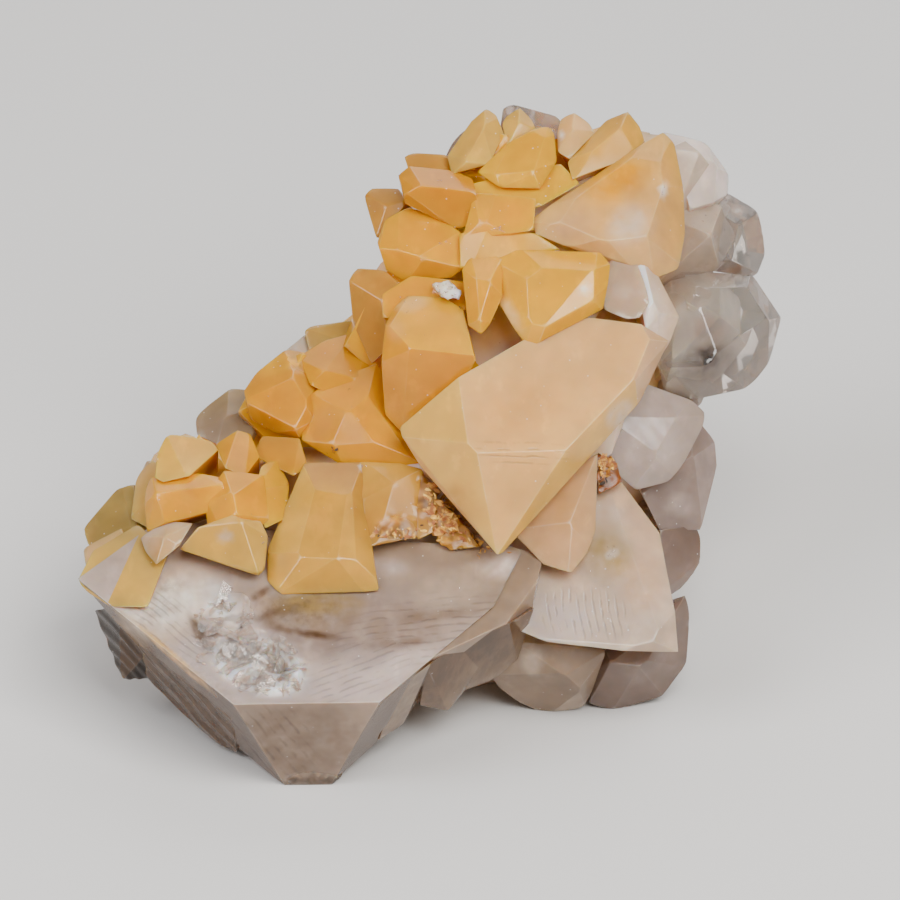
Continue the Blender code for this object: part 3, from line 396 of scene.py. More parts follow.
         (54.1, 63.8, 3.2), (51.8, 62.7, 3.9), (52.2, 61.3, 4.3), (54.5, 58.1, 5.4), (54.1, 55.6, 6.4)],
        (60.0, 58.0, 19.0),
    ),
    "floor_lobe_left": (
        [(48.5, 66.4, 8.6), (49.0, 64.8, 8.0), (51.8, 62.9, 6.6), (60.5, 65.0, 7.4), (59.6, 67.5, 9.4),
         (59.1, 69.4, 11.4), (58.2, 70.7, 12.6), (56.4, 71.2, 13.2), (54.1, 71.2, 13.2), (51.8, 70.1, 12.4),
         (49.9, 68.8, 10.8), (51.6, 64.1, 5.8), (56.4, 67.5, 6.6), (58.0, 68.9, 8.2)],
        (55.0, 65.0, 21.0),
    ),
    "floor_lobe_right": (
        [(60.5, 65.0, 10.0), (68.5, 59.5, 12.0), (68.9, 60.9, 12.4), (68.7, 66.1, 12.8), (67.2, 68.4, 13.2),
         (66.0, 69.7, 13.6), (61.2, 71.1, 13.4), (58.9, 70.3, 12.8), (59.3, 67.0, 11.0), (61.0, 66.2, 8.6),
         (64.0, 66.6, 8.8), (67.0, 62.0, 10.2)],
        (62.5, 64.0, 23.0),
    ),
    "right_mid": (
        [(62.0, 39.0, 14.6), (64.7, 38.4, 14.8), (66.4, 39.1, 15.2), (69.2, 40.0, 16.4), (70.5, 41.2, 17.2),
         (70.4, 42.5, 17.2), (68.4, 46.4, 15.8), (66.8, 48.2, 15.0), (63.6, 49.0, 13.2), (60.0, 46.0, 12.0),
         (67.6, 41.6, 14.2), (65.6, 45.6, 12.8), (62.0, 42.0, 12.2)],
        (64.5, 44.0, 24.0),
    ),
    "right_back": (
        [(69.5, 41.5, 21.0), (70.5, 42.8, 21.2), (71.5, 44.0, 21.4), (71.8, 46.4, 21.8), (71.3, 48.6, 21.6),
         (70.7, 51.0, 21.0), (69.8, 53.0, 20.4), (66.0, 53.0, 17.6), (64.0, 49.0, 16.2), (69.2, 46.0, 18.4)],
        (65.5, 47.0, 28.0),
    ),
    "right_back_low": (
        [(69.6, 52.6, 20.4), (70.2, 53.8, 20.6), (70.1, 56.2, 20.4), (69.2, 57.7, 19.8), (68.1, 58.9, 19.0),
         (67.0, 59.6, 17.8), (66.4, 57.7, 17.0), (66.0, 53.0, 17.4)],
        (64.5, 54.5, 27.0),
    ),
    "pink_lobe": (
        [(66.4, 13.2, 19.6), (68.4, 13.5, 20.4), (70.6, 14.2, 21.0), (71.9, 15.7, 21.4), (72.9, 17.4, 21.8),
         (73.0, 18.3, 21.8), (72.9, 19.3, 21.6), (71.4, 20.9, 19.6), (68.8, 21.8, 18.4), (68.0, 17.0, 17.6),
         (67.6, 14.6, 17.4), (71.8, 16.5, 19.0), (71.4, 20.2, 18.2), (69.0, 20.8, 17.0)],
        (66.5, 18.5, 29.0),
    ),
    "olive_lobe": (
        [(72.9, 19.2, 22.6), (75.5, 20.7, 23.2), (76.4, 23.1, 23.6), (76.8, 25.3, 23.6), (75.6, 27.5, 22.6),
         (73.4, 27.4, 20.8), (68.2, 26.6, 18.2), (68.5, 22.0, 18.4), (71.5, 20.8, 19.8), (74.0, 22.6, 20.0),
         (73.2, 26.0, 18.8), (69.8, 23.6, 17.2)],
        (68.5, 24.5, 30.0),
    ),
    "smoky_lobe": (
        [(66.4, 28.1, 17.2), (68.1, 27.0, 17.6), (72.9, 27.3, 18.6), (75.5, 27.6, 20.2), (78.2, 31.7, 20.8),
         (77.8, 33.5, 20.6), (77.0, 36.1, 19.8), (75.6, 38.1, 19.0), (74.7, 38.7, 18.6), (72.5, 39.4, 17.6),
         (69.0, 39.9, 16.6), (66.4, 39.0, 16.0), (65.5, 35.0, 15.6), (69.5, 28.8, 14.8), (74.6, 28.6, 16.8),
         (77.0, 32.0, 17.4), (71.5, 35.0, 13.6), (71.0, 36.6, 13.8), (67.0, 37.0, 13.8), (67.6, 31.0, 14.2)],
        (69.5, 33.0, 27.0),
    ),
    # a small clear crystal on its front
    "clear_bud": (
        [(68.4, 29.1, 14.4), (69.5, 28.4, 14.6), (71.2, 29.1, 15.2), (71.1, 30.1, 14.8), (69.6, 31.3, 14.2),
         (68.7, 30.9, 14.0), (69.6, 29.4, 13.7), (70.1, 29.8, 13.8)],
        (70.5, 29.8, 21.0),
    ),
}

# The broken mass that the crystals share: hulls of points in mm, right, back and up from the sheet's foot.
CORES = {
    "core_low": [
        (16, 25, -2), (22, 17, -2), (33, 13, -2), (49, 23.5, -2), (58, 26, -2), (65, 30, -2),
        (62, 44, -2), (50, 52, -2), (32, 50, -2), (18, 40, -2),
        (14, 26, 12), (24, 14, 12), (44, 12, 11), (60, 24, 12), (65, 32, 14), (61, 46, 14), (48, 53, 14),
        (30, 49, 14), (17, 38, 14),
    ],
    "core_mid": [
        (18, 26, 10), (34, 18, 10), (58, 24, 10), (65, 34, 10), (61, 48, 10), (44, 53, 10), (24, 44, 10),
        (26, 28, 21), (42, 22, 24), (62, 28, 26), (66, 38, 28), (61, 50, 28), (48, 53, 28), (32, 42, 21),
    ],
    "core_top": [
        (38, 33, 22), (52, 27, 22), (65, 34, 22), (67, 42, 24), (60, 51, 24), (44, 49, 24),
        (43, 40, 37), (52, 38, 40), (65, 41, 42), (69, 45, 38), (63, 50, 40), (50, 49, 40), (42.5, 47, 33),
        (47, 44, 42), (52, 44, 44), (62, 44, 45), (65, 46, 45), (62, 53, 40),
    ],
}

# Rows of crystals round the back, from the right side to the left: height, how far they point up,
# and the line (x, y) that their tips follow in plan.
BACK_ROWS = [
    (3.0, 0, [(65, 29), (65, 38), (60, 48), (50, 52), (38, 53), (26, 51), (17, 45), (13, 37), (12.5, 30)]),
    (10.5, 12, [(67, 33), (67, 42), (61, 50), (50, 55), (38, 55), (27, 52), (18, 45), (13, 35), (11.5, 28)]),
    (18.0, 24, [(67.5, 36), (67.5, 44), (62, 51), (50, 56), (40, 55.5), (31, 50), (24, 42), (20, 36),
                (17.5, 30.5)]),
    (25.0, 34, [(69, 39), (68, 47), (61, 53), (51, 56.5), (43, 54), (35.5, 47), (30, 40), (26.5, 35)]),
    (32.0, 38, [(70, 42), (69, 49), (62, 55), (53, 56), (46, 53), (40, 46), (36.5, 39)]),
    (39.0, 44, [(71, 45), (69, 51), (62, 55), (53, 55), (46, 51), (42, 45)]),
    (44.5, 58, [(67, 49.5), (62, 52.5), (56, 53), (51, 51), (49, 48.5)]),
]

# The back crystals: their spacing, widths and length, how far they stand out, all in mm, how steep they end,
# and the seed of their draws.
BACK_SPACING = 6.4
BACK_WIDTHS = (3.4, 5.4)
BACK_LENGTH = 15.0
BACK_PROUD = 1.6
CLEAVAGE_RISE = 0.986
NAILHEAD_RISE = 0.49
BACK_SEED = 17

# How long the sides of the finished skin's triangles are, in mm, how near the edges their first row lies,
# and the size under which a side is closed up.
SKIN_FRONT = 0.55
SKIN_CARVED = 0.3
SKIN_BACK = 1.5
SKIN_FOOT = 4.0
EDGE_ROW = 0.1
SLIVER = 0.003

# A side where two faces meet hollow by more than this many degrees is a sharp valley.
VALLEY_BEND = 18.0

# Slow waves over every face: height and length in mm.
WAVE_HEIGHT = 0.022
WAVE_LENGTH = 3.2

# Worn edges: the bend in degrees at which an edge starts to wear and the further bend that wears it fully,
# how far its corners are drawn in, as a share, how much that changes, the bend at which an edge has a rim
# and how many rows the rim has.
WORN_FROM = 8
WORN_OVER = 30
WORN_SHARE = 0.22
WORN_CHANGE = 0.2
RIM_FROM = 12
RIM_ROWS = 7

# How deep the colour is away from the rims and how much paler it is on them, a painted glow of light through
# the thin rims; and how white the worn edges are, partly chipped wear and partly a painted sheen of light on
# them.
DEEP = 1.1
RIM_PALER = 0.32
EDGE_WHITE = 0.14

# How much lighter or darker one face may be than the next, as a share, and the seed of those draws.
FACE_TONE = 0.07
TONE_SEED = 5

# Ridges closer together than this, in mm, are fine lines in the colour.
FINE_RIDGES = 1.2

PALETTE = {
    "gold": "#F1B41E",
    "honey": "#EDA70E",
    "amber": "#D89204",
    "lemon": "#E0AA42",
    "straw": "#E8B954",
    "cream": "#EDBB76",
    "peach": "#EAAC60",
    "tan": "#C48C34",
    "blush": "#DBAE7E",
    "milky": "#E2CCB6",
    "rose": "#F0DCD0",
    "lilac": "#CEBCB4",
    "taupe": "#A68E78",
    "ash": "#A38F86",
    "umber": "#60452C",
    "bark": "#32200E",
    "olive": "#B09250",
    # dark: the black specks, and the painted shade of the dark windows in the clear lobes
    "speck_and_window_shade": "#2A231E",
    "rust": "#8A4A10",
    "white": "#FBF6F0",
}

# Each crystal: its colour at the tip, its colour at the root, and how clear it is, from 0 to 1.
LOOKS = {
    "prow": ("lilac", "taupe", 0.35),
    "prow_shoulder": ("taupe", "taupe", 0.35),
    "prow_cheek": ("straw", "olive", 0.25),
    # the plates are partly a brown of their own and partly painted shade, as they face down and away from the
    # light
    "plate_left_high": ("bark", "bark", 0.2),
    "plate_left_low": ("umber", "umber", 0.2),
    "plate_right_1": ("umber", "umber", 0.2),
    "plate_right_2": ("umber", "umber", 0.2),
    "plate_right_3": ("umber", "taupe", 0.2),
    "plate_right_4": ("umber", "taupe", 0.25),
    "left_cap": ("straw", "honey", 0.25),
    "left_spire": ("amber", "honey", 0.25),
    "left_tip": ("gold", "amber", 0.25),
    "left_block": ("honey", "amber", 0.2),
    "left_heart": ("honey", "amber", 0.25),
    "left_fang": ("straw", "lemon", 0.3),
    "left_glassy_tooth": ("cream", "rose", 0.0),
    "left_shard": ("straw", "blush", 0.3),
    "left_olive": ("olive", "olive", 0.4),
    "left_corner_bit": ("blush", "olive", 0.2),
    "lemon_table": ("lemon", "tan", 0.3),
    "lemon_wall": ("tan", "lemon", 0.25),
    "orange_left": ("amber", "tan", 0.15),
    "orange_crest": ("amber", "amber", 0.15),
    "orange_right": ("amber", "amber", 0.15),
    "orange_foot": ("amber", "tan", 0.15),
    "green_back_tip": ("olive", "lemon", 0.3),
    "pale_back_tip": ("lilac", "olive", 0.3),
    "grey_back_left": ("taupe", "olive", 0.5),
    "peach_spear": ("cream", "blush", 0.12),
    "amber_block": ("amber", "amber", 0.2),
    "amber_hollow": ("honey", "amber", 0.2),
    "white_chip": ("white", "cream", 0.0),
    "pale_back_left": ("tan", "tan", 0.3),
    "amber_dome": ("gold", "honey", 0.2),
    "amber_blade": ("honey", "honey", 0.2),
    "window": ("white", "cream", 0.1),
    "window_frame": ("rose", "cream", 0.25),
    "big_shoulder": ("cream", "lemon", 0.35),
    "crown_blade": ("lemon", "lemon", 0.25),
    "crown_tooth": ("cream", "peach", 0.25),
    "crown_slab": ("gold", "honey", 0.25),
    "crown_left": ("straw", "lemon", 0.3),
    "crown_step": ("gold", "gold", 0.2),
    "crown_bud": ("straw", "lemon", 0.3),
    "crown_glass": ("rose", "lilac", 0.6),
    "crown_glass_left": ("rose", "lilac", 0.6),
    "brown_chip": ("tan", "tan", 0.2),
    "brow": ("amber", "amber", 0.2),
    "far_left_pale": ("tan", "tan", 0.3),
    "cheek": ("honey", "honey", 0.2),
    "mid_block": ("honey", "honey", 0.2),
    "mid_ledge": ("gold", "honey", 0.2),
    "rust_step_high": ("tan", "rust", 0.0),
    "rust_step_low": ("tan", "rust", 0.0),
    "rust_corner": ("rust", "umber", 0.0),
    "tan_wedge": ("blush", "blush", 0.25),
    "right_slab": ("milky", "blush", 0.3),
    "floor_lobe_left": ("taupe", "taupe", 0.5),
    "floor_lobe_right": ("ash", "umber", 0.55),
    "right_mid": ("lilac", "taupe", 0.4),
    "right_back": ("ash", "ash", 0.4),
    "right_back_low": ("ash", "umber", 0.4),
    "pink_lobe": ("rose", "rose", 0.4),
    "olive_lobe": ("white", "rose", 0.9),
    "smoky_lobe": ("white", "rose", 0.85),
    "clear_bud": ("white", "milky", 0.9),
    # painted light: the mass is made paler than its crystals to lift the shade in the gaps between them
    "core_top": ("white", "cream", 0.1),
    "core_mid": ("rose", "cream", 0.1),
}

# The clearest crystals, each a see-through body in the milky mass.
CLEAR_ONES = [
    "left_glassy_tooth", "window", "crown_glass", "crown_glass_left", "olive_lobe", "smoky_lobe", "clear_bud",
]

# Crystals whose skin is divided more finely, for their broken patches and ridges.
CARVED_ONES = ["prow", "plate_left_high", "plate_left_low", "right_slab", "peach_spear"]

# Flat faces with a colour laid on: where the camera sees them, the colour and its strength. The white one by
# the window is a painted highlight, and the umber and taupe ones low on the prow are partly brown, partly
# painted shade.
FACES = [
    (42.5, 37.5, "amber", 0.8),
    (41.5, 31.5, "gold", 0.7),
    (52.0, 40.0, "cream", 0.5),
    (42.8, 43.0, "straw", 0.8),
    (47.0, 49.5, "straw", 0.7),
    (60.0, 42.5, "straw", 0.8),
    # painted highlight: the bright narrow face beside the window
    (64.4, 28.6, "white", 0.95),
    (62.5, 29.5, "blush", 0.8),
    (29.0, 55.0, "straw", 0.6),
    (33.0, 57.5, "lemon", 0.6),
    (51.5, 21.0, "honey", 0.6),
    (44.0, 20.5, "amber", 0.6),
    (27.0, 41.0, "amber", 0.6),
    # from here on: the lower faces of the prow and its plates, partly brown and partly painted shade where
    # they face down
    (31.0, 74.0, "taupe", 0.8),
    (19.4, 67.7, "umber", 0.8),
    (24.8, 73.9, "umber", 0.7),
    (36.0, 75.0, "umber", 0.6),
    (13.0, 67.0, "umber", 0.85),
    (18.0, 70.5, "umber", 0.85),
    (22.5, 72.0, "umber", 0.85),
    (36.5, 73.0, "umber", 0.8),
    (41.0, 68.5, "taupe", 0.8),
]

# Soft patches of another colour: the crystal (or None for all), the middle as the camera sees it, its reach,
# its turn in degrees, its colour, strength and softness. Some are painted light: white glints as painted
# highlights, dark windows in the clear lobes and patches in the prow's crackled part as painted shade and
# shadow, and umber on the prow's lower face, partly brown and partly painted shade.
VEILS_AND_PAINTED_LIGHT = [
    ("prow", (36.0, 63.0), (11.0, 5.0), -8, "ash", 1.0, 0.6),
    # umber on the prow's lower face: partly brown, partly painted shade
    ("prow", (30.5, 74.0), (8.0, 5.0), 0, "umber", 0.4, 0.5),
    ("prow", (16.5, 60.5), (6.5, 4.6), -25, "cream", 0.5, 0.6),
    ("prow", (17.0, 60.5), (6.0, 4.0), -25, "white", 0.6, 0.7),
    ("prow", (22.8, 61.0), (4.5, 2.6), 25, "rose", 0.7, 0.7),
    ("prow", (26.0, 66.5), (5.8, 3.2), 20, "white", 0.8, 0.35),
    ("prow", (22.0, 60.0), (2.2, 3.4), -35, "white", 0.5, 0.7),
    ("prow", (15.0, 58.5), (4.0, 1.0), -50, "lilac", 0.6, 0.7),
    ("prow", (13.0, 61.0), (3.0, 0.8), 30, "white", 0.5, 0.7),
    ("prow", (50.0, 56.5), (3.0, 2.0), 0, "rose", 0.6, 0.7),
    ("prow", (40.0, 66.5), (5.0, 1.6), -25, "rose", 0.6, 0.7),
    ("prow", (38.0, 56.8), (4.0, 1.4), 0, "lilac", 0.6, 0.7),
    ("prow", (17.5, 65.8), (6.5, 0.5), 42, "cream", 0.8, 0.6),
    ("prow", (30.5, 60.8), (7.5, 3.4), 8, "taupe", 0.9, 0.6),
    # painted shadow in the prow's crackled part
    ("prow", (27.2, 62.6), (3.4, 1.1), 28, "umber", 0.45, 0.8),
    ("prow", (26.6, 66.4), (1.5, 1.0), 20, "taupe", 0.8, 0.8),
    ("prow", (21.6, 62.9), (1.8, 0.6), -48, "umber", 0.7, 0.8),
    # painted shadow, partly the brown of a notch: these three umber streaks lie in the shade of the crackled
    # part
    ("prow", (29.0, 61.0), (5.0, 0.9), -14, "umber", 0.6, 0.8),
    ("prow", (31.0, 63.4), (4.6, 0.6), 8, "umber", 0.75, 0.8),
    ("prow", (26.0, 59.4), (2.4, 0.6), -30, "umber", 0.7, 0.8),
    ("prow", (20.0, 63.4), (3.0, 0.8), 60, "umber", 0.7, 0.6),
    ("prow", (44.0, 61.5), (7.0, 0.8), -6, "umber", 0.4, 0.7),
    ("prow", (40.0, 64.3), (6.0, 0.6), -6, "umber", 0.4, 0.7),
    ("prow", (36.0, 67.0), (7.0, 3.0), -10, "lilac", 0.6, 0.6),
    ("prow", (40.0, 62.5), (7.0, 3.0), -6, "taupe", 0.4, 0.7),
    ("prow", (46.0, 58.5), (6.0, 2.6), -20, "milky", 0.4, 0.7),
    ("prow", (32.0, 60.4), (6.0, 1.6), 0, "olive", 0.5, 0.6),
    ("prow", (31.0, 78.5), (4.5, 1.0), 0, "bark", 0.6, 0.5),
    ("prow_cheek", (12.0, 63.0), (4.0, 5.0), 0, "olive", 0.7, 0.6),
    ("amber_block", (41.2, 30.4), (2.2, 1.2), -10, "cream", 0.75, 0.6),
    ("amber_block", (39.6, 33.0), (1.2, 1.6), 0, "peach", 0.5, 0.6),
    ("amber_dome", (50.8, 31.5), (1.3, 3.0), -35, "cream", 0.8, 0.6),
    # painted highlight: a white glint
    ("amber_dome", (58.4, 28.9), (0.7, 0.7), 0, "white", 0.7, 0.7),
    ("big_shoulder", (61.5, 18.0), (5.2, 2.8), -25, "honey", 0.95, 0.8),
    ("big_shoulder", (57.0, 22.6), (3.4, 1.8), -15, "blush", 0.7, 0.7),
    ("big_shoulder", (63.0, 22.5), (3.2, 2.6), -30, "milky", 0.7, 0.7),
    # painted highlight: a white glint
    ("big_shoulder", (66.4, 19.0), (0.5, 1.2), 10, "white", 0.8, 0.7),
    ("crown_slab", (51.5, 20.0), (4.4, 1.6), 0, "blush", 0.45, 0.7),
    ("crown_tooth", (56.2, 13.5), (0.5, 0.5), 0, "white", 0.8, 0.7),
    ("lemon_table", (36.4, 46.7), (0.7, 0.5), 0, "white", 0.9, 0.5),
    ("lemon_table", (32.0, 49.5), (3.6, 2.4), 0, "gold", 0.4, 0.8),
    ("lemon_wall", (39.6, 52.8), (2.6, 1.2), 0, "rust", 0.6, 0.6),
    ("left_block", (19.8, 48.9), (2.0, 1.2), 0, "amber", 0.7, 0.6),
    ("left_fang", (22.5, 53.7), (1.2, 0.8), 0, "lilac", 0.7, 0.7),
    ("orange_left", (27.2, 41.0), (3.2, 2.0), 20, "amber", 0.6, 0.6),
    ("orange_left", (27.5, 36.5), (2.6, 1.4), -20, "gold", 0.6, 0.7),
    ("grey_back_left", (20.0, 44.0), (0.8, 0.8), 0, "white", 0.8, 0.8),
    ("smoky_lobe", (70.8, 33.0), (2.8, 2.0), 0, "lilac", 0.7, 0.7),
    # painted shade: dark windows in the clear lobes, where the view runs through them into shade
    ("smoky_lobe", (70.8, 36.2), (3.6, 2.6), -20, "speck_and_window_shade", 0.8, 0.6),
    ("olive_lobe", (71.0, 26.0), (2.6, 1.5), 0, "speck_and_window_shade", 0.6, 0.6),
    ("olive_lobe", (71.0, 22.6), (2.2, 1.2), 0, "white", 0.4, 0.6),
    ("right_back", (68.0, 50.5), (2.2, 1.6), 0, "lilac", 0.6, 0.7),
    ("right_slab", (60.0, 57.0), (12.0, 12.0), 0, "ash", 0.3, 0.3),
    ("right_slab", (64.0, 58.0), (3.5, 5.0), 0, "blush", 0.4, 0.8),
    ("right_slab", (55.8, 62.0), (5.6, 3.2), 0, "lilac", 0.8, 0.7),
    ("right_slab", (60.6, 52.0), (3.0, 6.0), -15, "milky", 0.5, 0.8),
    ("right_slab", (60.8, 55.2), (3.6, 4.2), -10, "olive", 0.65, 0.8),
    ("right_slab", (61.2, 55.4), (1.0, 0.6), -30, "white", 0.4, 0.7),
    ("tan_wedge", (56.5, 51.0), (2.4, 4.0), 0, "tan", 0.25, 0.8),
    ("floor_lobe_left", (53.2, 66.2), (1.4, 1.8), 0, "milky", 0.7, 0.7),
    ("peach_spear", (52.0, 41.0), (7.0, 5.0), -30, "peach", 0.35, 0.8),
    ("peach_spear", (62.0, 41.5), (1.6, 2.2), 35, "milky", 0.7, 0.6),
    (None, (45.0, 51.0), (4.0, 3.6), 0, "rust", 0.35, 0.7),
    (None, (60.6, 46.6), (1.2, 1.4), 0, "rust", 0.6, 0.7),
]

# The seed for the leaning of the chips in the broken patches.
CHIP_SEED = 4

# Broken patches: the crystal, the middle, its reach and turn, the size of its chips in mm and how they tilt.
BROKEN = [
    ("prow", (25.8, 66.3), (5.8, 3.6), 20, 2.1, 0.75),
    ("prow", (22.6, 61.6), (3.6, 2.4), -30, 1.6, 0.4),
    ("prow", (31.5, 78.0), (3.6, 0.9), 0, 0.9, 0.3),
    ("lemon_wall", (39.6, 52.8), (2.6, 1.4), 0, 0.8, 0.3),
    ("rust_step_low", (45.0, 51.0), (5.0, 5.0), 0, 0.8, 0.35),
    ("rust_step_high", (45.0, 48.0), (5.0, 5.0), 0, 0.8, 0.35),
    ("white_chip", (44.8, 29.0), (2.0, 1.4), 0, 0.6, 0.3),
    ("rust_corner", (60.6, 46.6), (2.0, 2.6), 0, 0.7, 0.35),
    ("orange_left", (31.0, 36.0), (3.0, 1.8), 20, 1.3, 0.16),
]

# Ridged patches: the crystal, the middle, its reach and turn, then the way the ridges run in degrees, how
# they bow, how far apart they lie and how high they are, in mm.
RIDGES = [
    ("prow", (43.0, 63.0), (12.0, 4.2), -8, -6, -0.004, 0.7, 0.05),
    ("prow", (16.0, 62.0), (7.0, 3.5), 40, 38, 0.0, 0.6, 0.05),
    ("prow", (27.0, 74.5), (6.0, 5.0), 0, 50, 0.0, 0.9, 0.05),
    ("prow", (35.5, 67.5), (6.0, 3.0), -20, -20, 0.0, 0.6, 0.04),
    ("plate_left_high", (15.0, 68.0), (12.0, 12.0), 0, 48, 0.0, 0.8, 0.2),
    ("plate_left_low", (16.0, 69.0), (12.0, 12.0), 0, 48, 0.0, 0.8, 0.2),
    ("right_slab", (58.5, 61.5), (6.0, 3.2), 8, 80, 0.02, 0.75, 0.08),
    ("peach_spear", (52.0, 45.2), (6.0, 1.8), 3, 3, 0.0, 0.7, 0.06),
    ("big_shoulder", (60.0, 20.0), (7.0, 4.0), -20, -24, 0.0, 1.6, 0.03),
    ("lemon_table", (32.0, 50.0), (6.0, 6.0), 0, 70, 0.0, 1.7, 0.03),
    ("floor_lobe_left", (54.0, 66.0), (5.0, 4.0), 0, 60, 0.0, 1.5, 0.04),
    ("right_mid", (65.0, 43.0), (5.0, 5.0), 0, 50, 0.0, 1.4, 0.03),
]

# The crystal that the rust spares.
SPARED = "peach_spear"

# Small bits that lie on the crystals or stick to them. Each kind: its slot, its two colours, how thick it is
# for its size, and its heaps: the middle as the camera sees it, its reach, the count and the size in mm.
BITS = {
    "rust_flakes": ("rust_stain", "rust", "tan", 0.1, [
        ((44.2, 50.4), (1.9, 3.6), 80, 0.95),
        ((45.6, 53.0), (1.6, 1.6), 24, 0.8),
        ((40.0, 53.3), (2.4, 0.5), 22, 0.7),
        ((60.6, 46.6), (0.8, 1.1), 34, 0.8),
        ((49.2, 55.4), (2.0, 1.0), 10, 0.4),
        ((37.4, 52.9), (0.4, 0.8), 6, 0.5),
    ]),
    "tan_flakes": ("rust_stain", "tan", "straw", 0.1, [
        ((44.4, 50.4), (2.0, 3.6), 50, 0.9),
        ((60.6, 46.4), (0.8, 1.1), 16, 0.7),
        ((40.2, 53.3), (2.4, 0.6), 14, 0.7),
        ((47.6, 54.6), (1.6, 1.2), 10, 0.6),
    ]),
    "crackle_shards": ("colourless_calcite", "white", "rose", 0.1, [
        ((26.0, 66.2), (4.6, 2.3), 60, 2.4),
        ((22.4, 61.6), (2.8, 2.2), 34, 1.6),
        ((20.8, 65.0), (1.2, 1.6), 14, 1.2),
        ((27.5, 68.4), (3.6, 0.8), 20, 1.2),
    ]),
    "black_specks": ("rust_stain", "speck_and_window_shade", "bark", 0.5, [
        ((33.1, 45.0), (0.8, 0.3), 9, 0.3),
        ((35.0, 39.1), (0.2, 0.6), 3, 0.18),
        ((60.4, 48.1), (0.4, 0.6), 12, 0.34),
        ((59.2, 53.7), (0.1, 0.1), 2, 0.2),
        ((37.9, 53.1), (0.3, 0.6), 3, 0.22),
        ((40.4, 53.8), (0.2, 0.1), 2, 0.2),
        ((42.1, 52.5), (0.2, 0.1), 2, 0.24),
        ((46.6, 21.1), (0.1, 0.1), 2, 0.18),
        ((46.0, 30.6), (0.1, 0.3), 3, 0.16),
        ((44.6, 51.0), (2.0, 2.2), 8, 0.2),
    ]),
    "white_chips": ("colourless_calcite", "white", "milky", 0.4, [
        ((26.6, 53.7), (0.6, 0.8), 9, 0.34),
        ((49.8, 23.0), (1.0, 0.3), 8, 0.36),
        ((44.5, 24.3), (0.6, 0.4), 8, 0.26),
        ((43.8, 18.1), (0.3, 0.2), 3, 0.24),
        ((66.2, 19.0), (0.3, 0.9), 7, 0.26),
        ((36.4, 46.7), (0.3, 0.2), 3, 0.3),
        ((61.2, 55.4), (1.2, 0.9), 14, 0.24),
        ((71.0, 22.6), (2.0, 1.2), 16, 0.2),
        ((44.8, 29.0), (1.3, 0.7), 20, 0.36),
        ((62.5, 42.0), (0.8, 1.2), 7, 0.26),
        ((41.0, 30.4), (1.6, 0.9), 12, 0.2),
    ]),
    "dust_grains": ("colourless_calcite", "white", "white", 0.6, [
        ((30.0, 42.0), (6.0, 5.0), 26, 0.11),
        ((46.0, 28.0), (8.0, 9.0), 40, 0.11),
        ((57.0, 42.0), (9.0, 8.0), 30, 0.09),
        ((30.0, 52.0), (7.0, 5.0), 26, 0.12),
        ((36.0, 62.0), (18.0, 6.0), 50, 0.11),
        ((62.0, 58.0), (6.0, 6.0), 26, 0.11),
        ((70.0, 30.0), (7.0, 9.0), 20, 0.09),
    ]),
}

# Where a face shows fibres inside: the crystal, the middle as the camera sees it, its reach and its turn.
STREAKED = [
    ("prow", (30.0, 61.0), (7.5, 3.4), 5),
    ("prow", (15.5, 60.0), (5.5, 3.4), -40),
    ("prow", (20.5, 68.5), (9.0, 2.0), 42),
]

# Crystals whose broken flanks show fibres.
FIBROUS = [
    "plate_left_high", "plate_left_low", "plate_right_1", "plate_right_2", "plate_right_3", "plate_right_4",
]


def colour(name):
    """A palette colour as linear red, green and blue."""
    digits = PALETTE[name].lstrip("#")
    shares = np.array([int(digits[place : place + 2], 16) / 255 for place in (0, 2, 4)])
    return np.where(shares <= 0.04045, shares / 12.92, ((shares + 0.055) / 1.055) ** 2.4)


def on_sheet(x, down, deep):
    """A corner on the leaning sheet, in the cluster's own frame, in metres."""
    up = FOOT_DOWN - down
    return (
        (x - ORIGIN_X) * MM,
        (up * math.sin(LEAN) + deep * math.cos(LEAN) - ORIGIN_Y) * MM,
        (up * math.cos(LEAN) - deep * math.sin(LEAN)) * MM,
    )


def as_seen(points):
    """Where the camera sees some points: mm right and mm down on the sheet, and mm behind it."""
    x = points[:, 0] / MM + ORIGIN_X
    y = points[:, 1] / MM + ORIGIN_Y
    z = points[:, 2] / MM
    down = FOOT_DOWN - (y * math.sin(LEAN) + z * math.cos(LEAN))
    deep = y * math.cos(LEAN) - z * math.sin(LEAN)
    nearer = VIEW_AWAY / (VIEW_AWAY + deep - VIEW_MIDDLE[2])
    return (
        VIEW_MIDDLE[0] + (x - VIEW_MIDDLE[0]) * nearer,
        VIEW_MIDDLE[1] + (down - VIEW_MIDDLE[1]) * nearer,
        deep,
    )


def in_frame(x, y, z):
    """A point drawn upright from the sheet's foot, in the cluster's own frame, in metres."""
    return ((x - ORIGIN_X) * MM, (y - ORIGIN_Y) * MM, z * MM)


def hull(points):
    """The convex hull of some points, as a bmesh of triangles."""
    shape = bmesh.new()
    for point in points:
        shape.verts.new(point)
    made = bmesh.ops.convex_hull(shape, input=shape.verts)
    unused = made["geom_interior"] + made["geom_unused"]
    spare = {part for part in unused if isinstance(part, bmesh.types.BMVert)}
    bmesh.ops.delete(shape, geom=list(spare), context="VERTS")
    bmesh.ops.recalc_face_normals(shape, faces=shape.faces)
    return shape


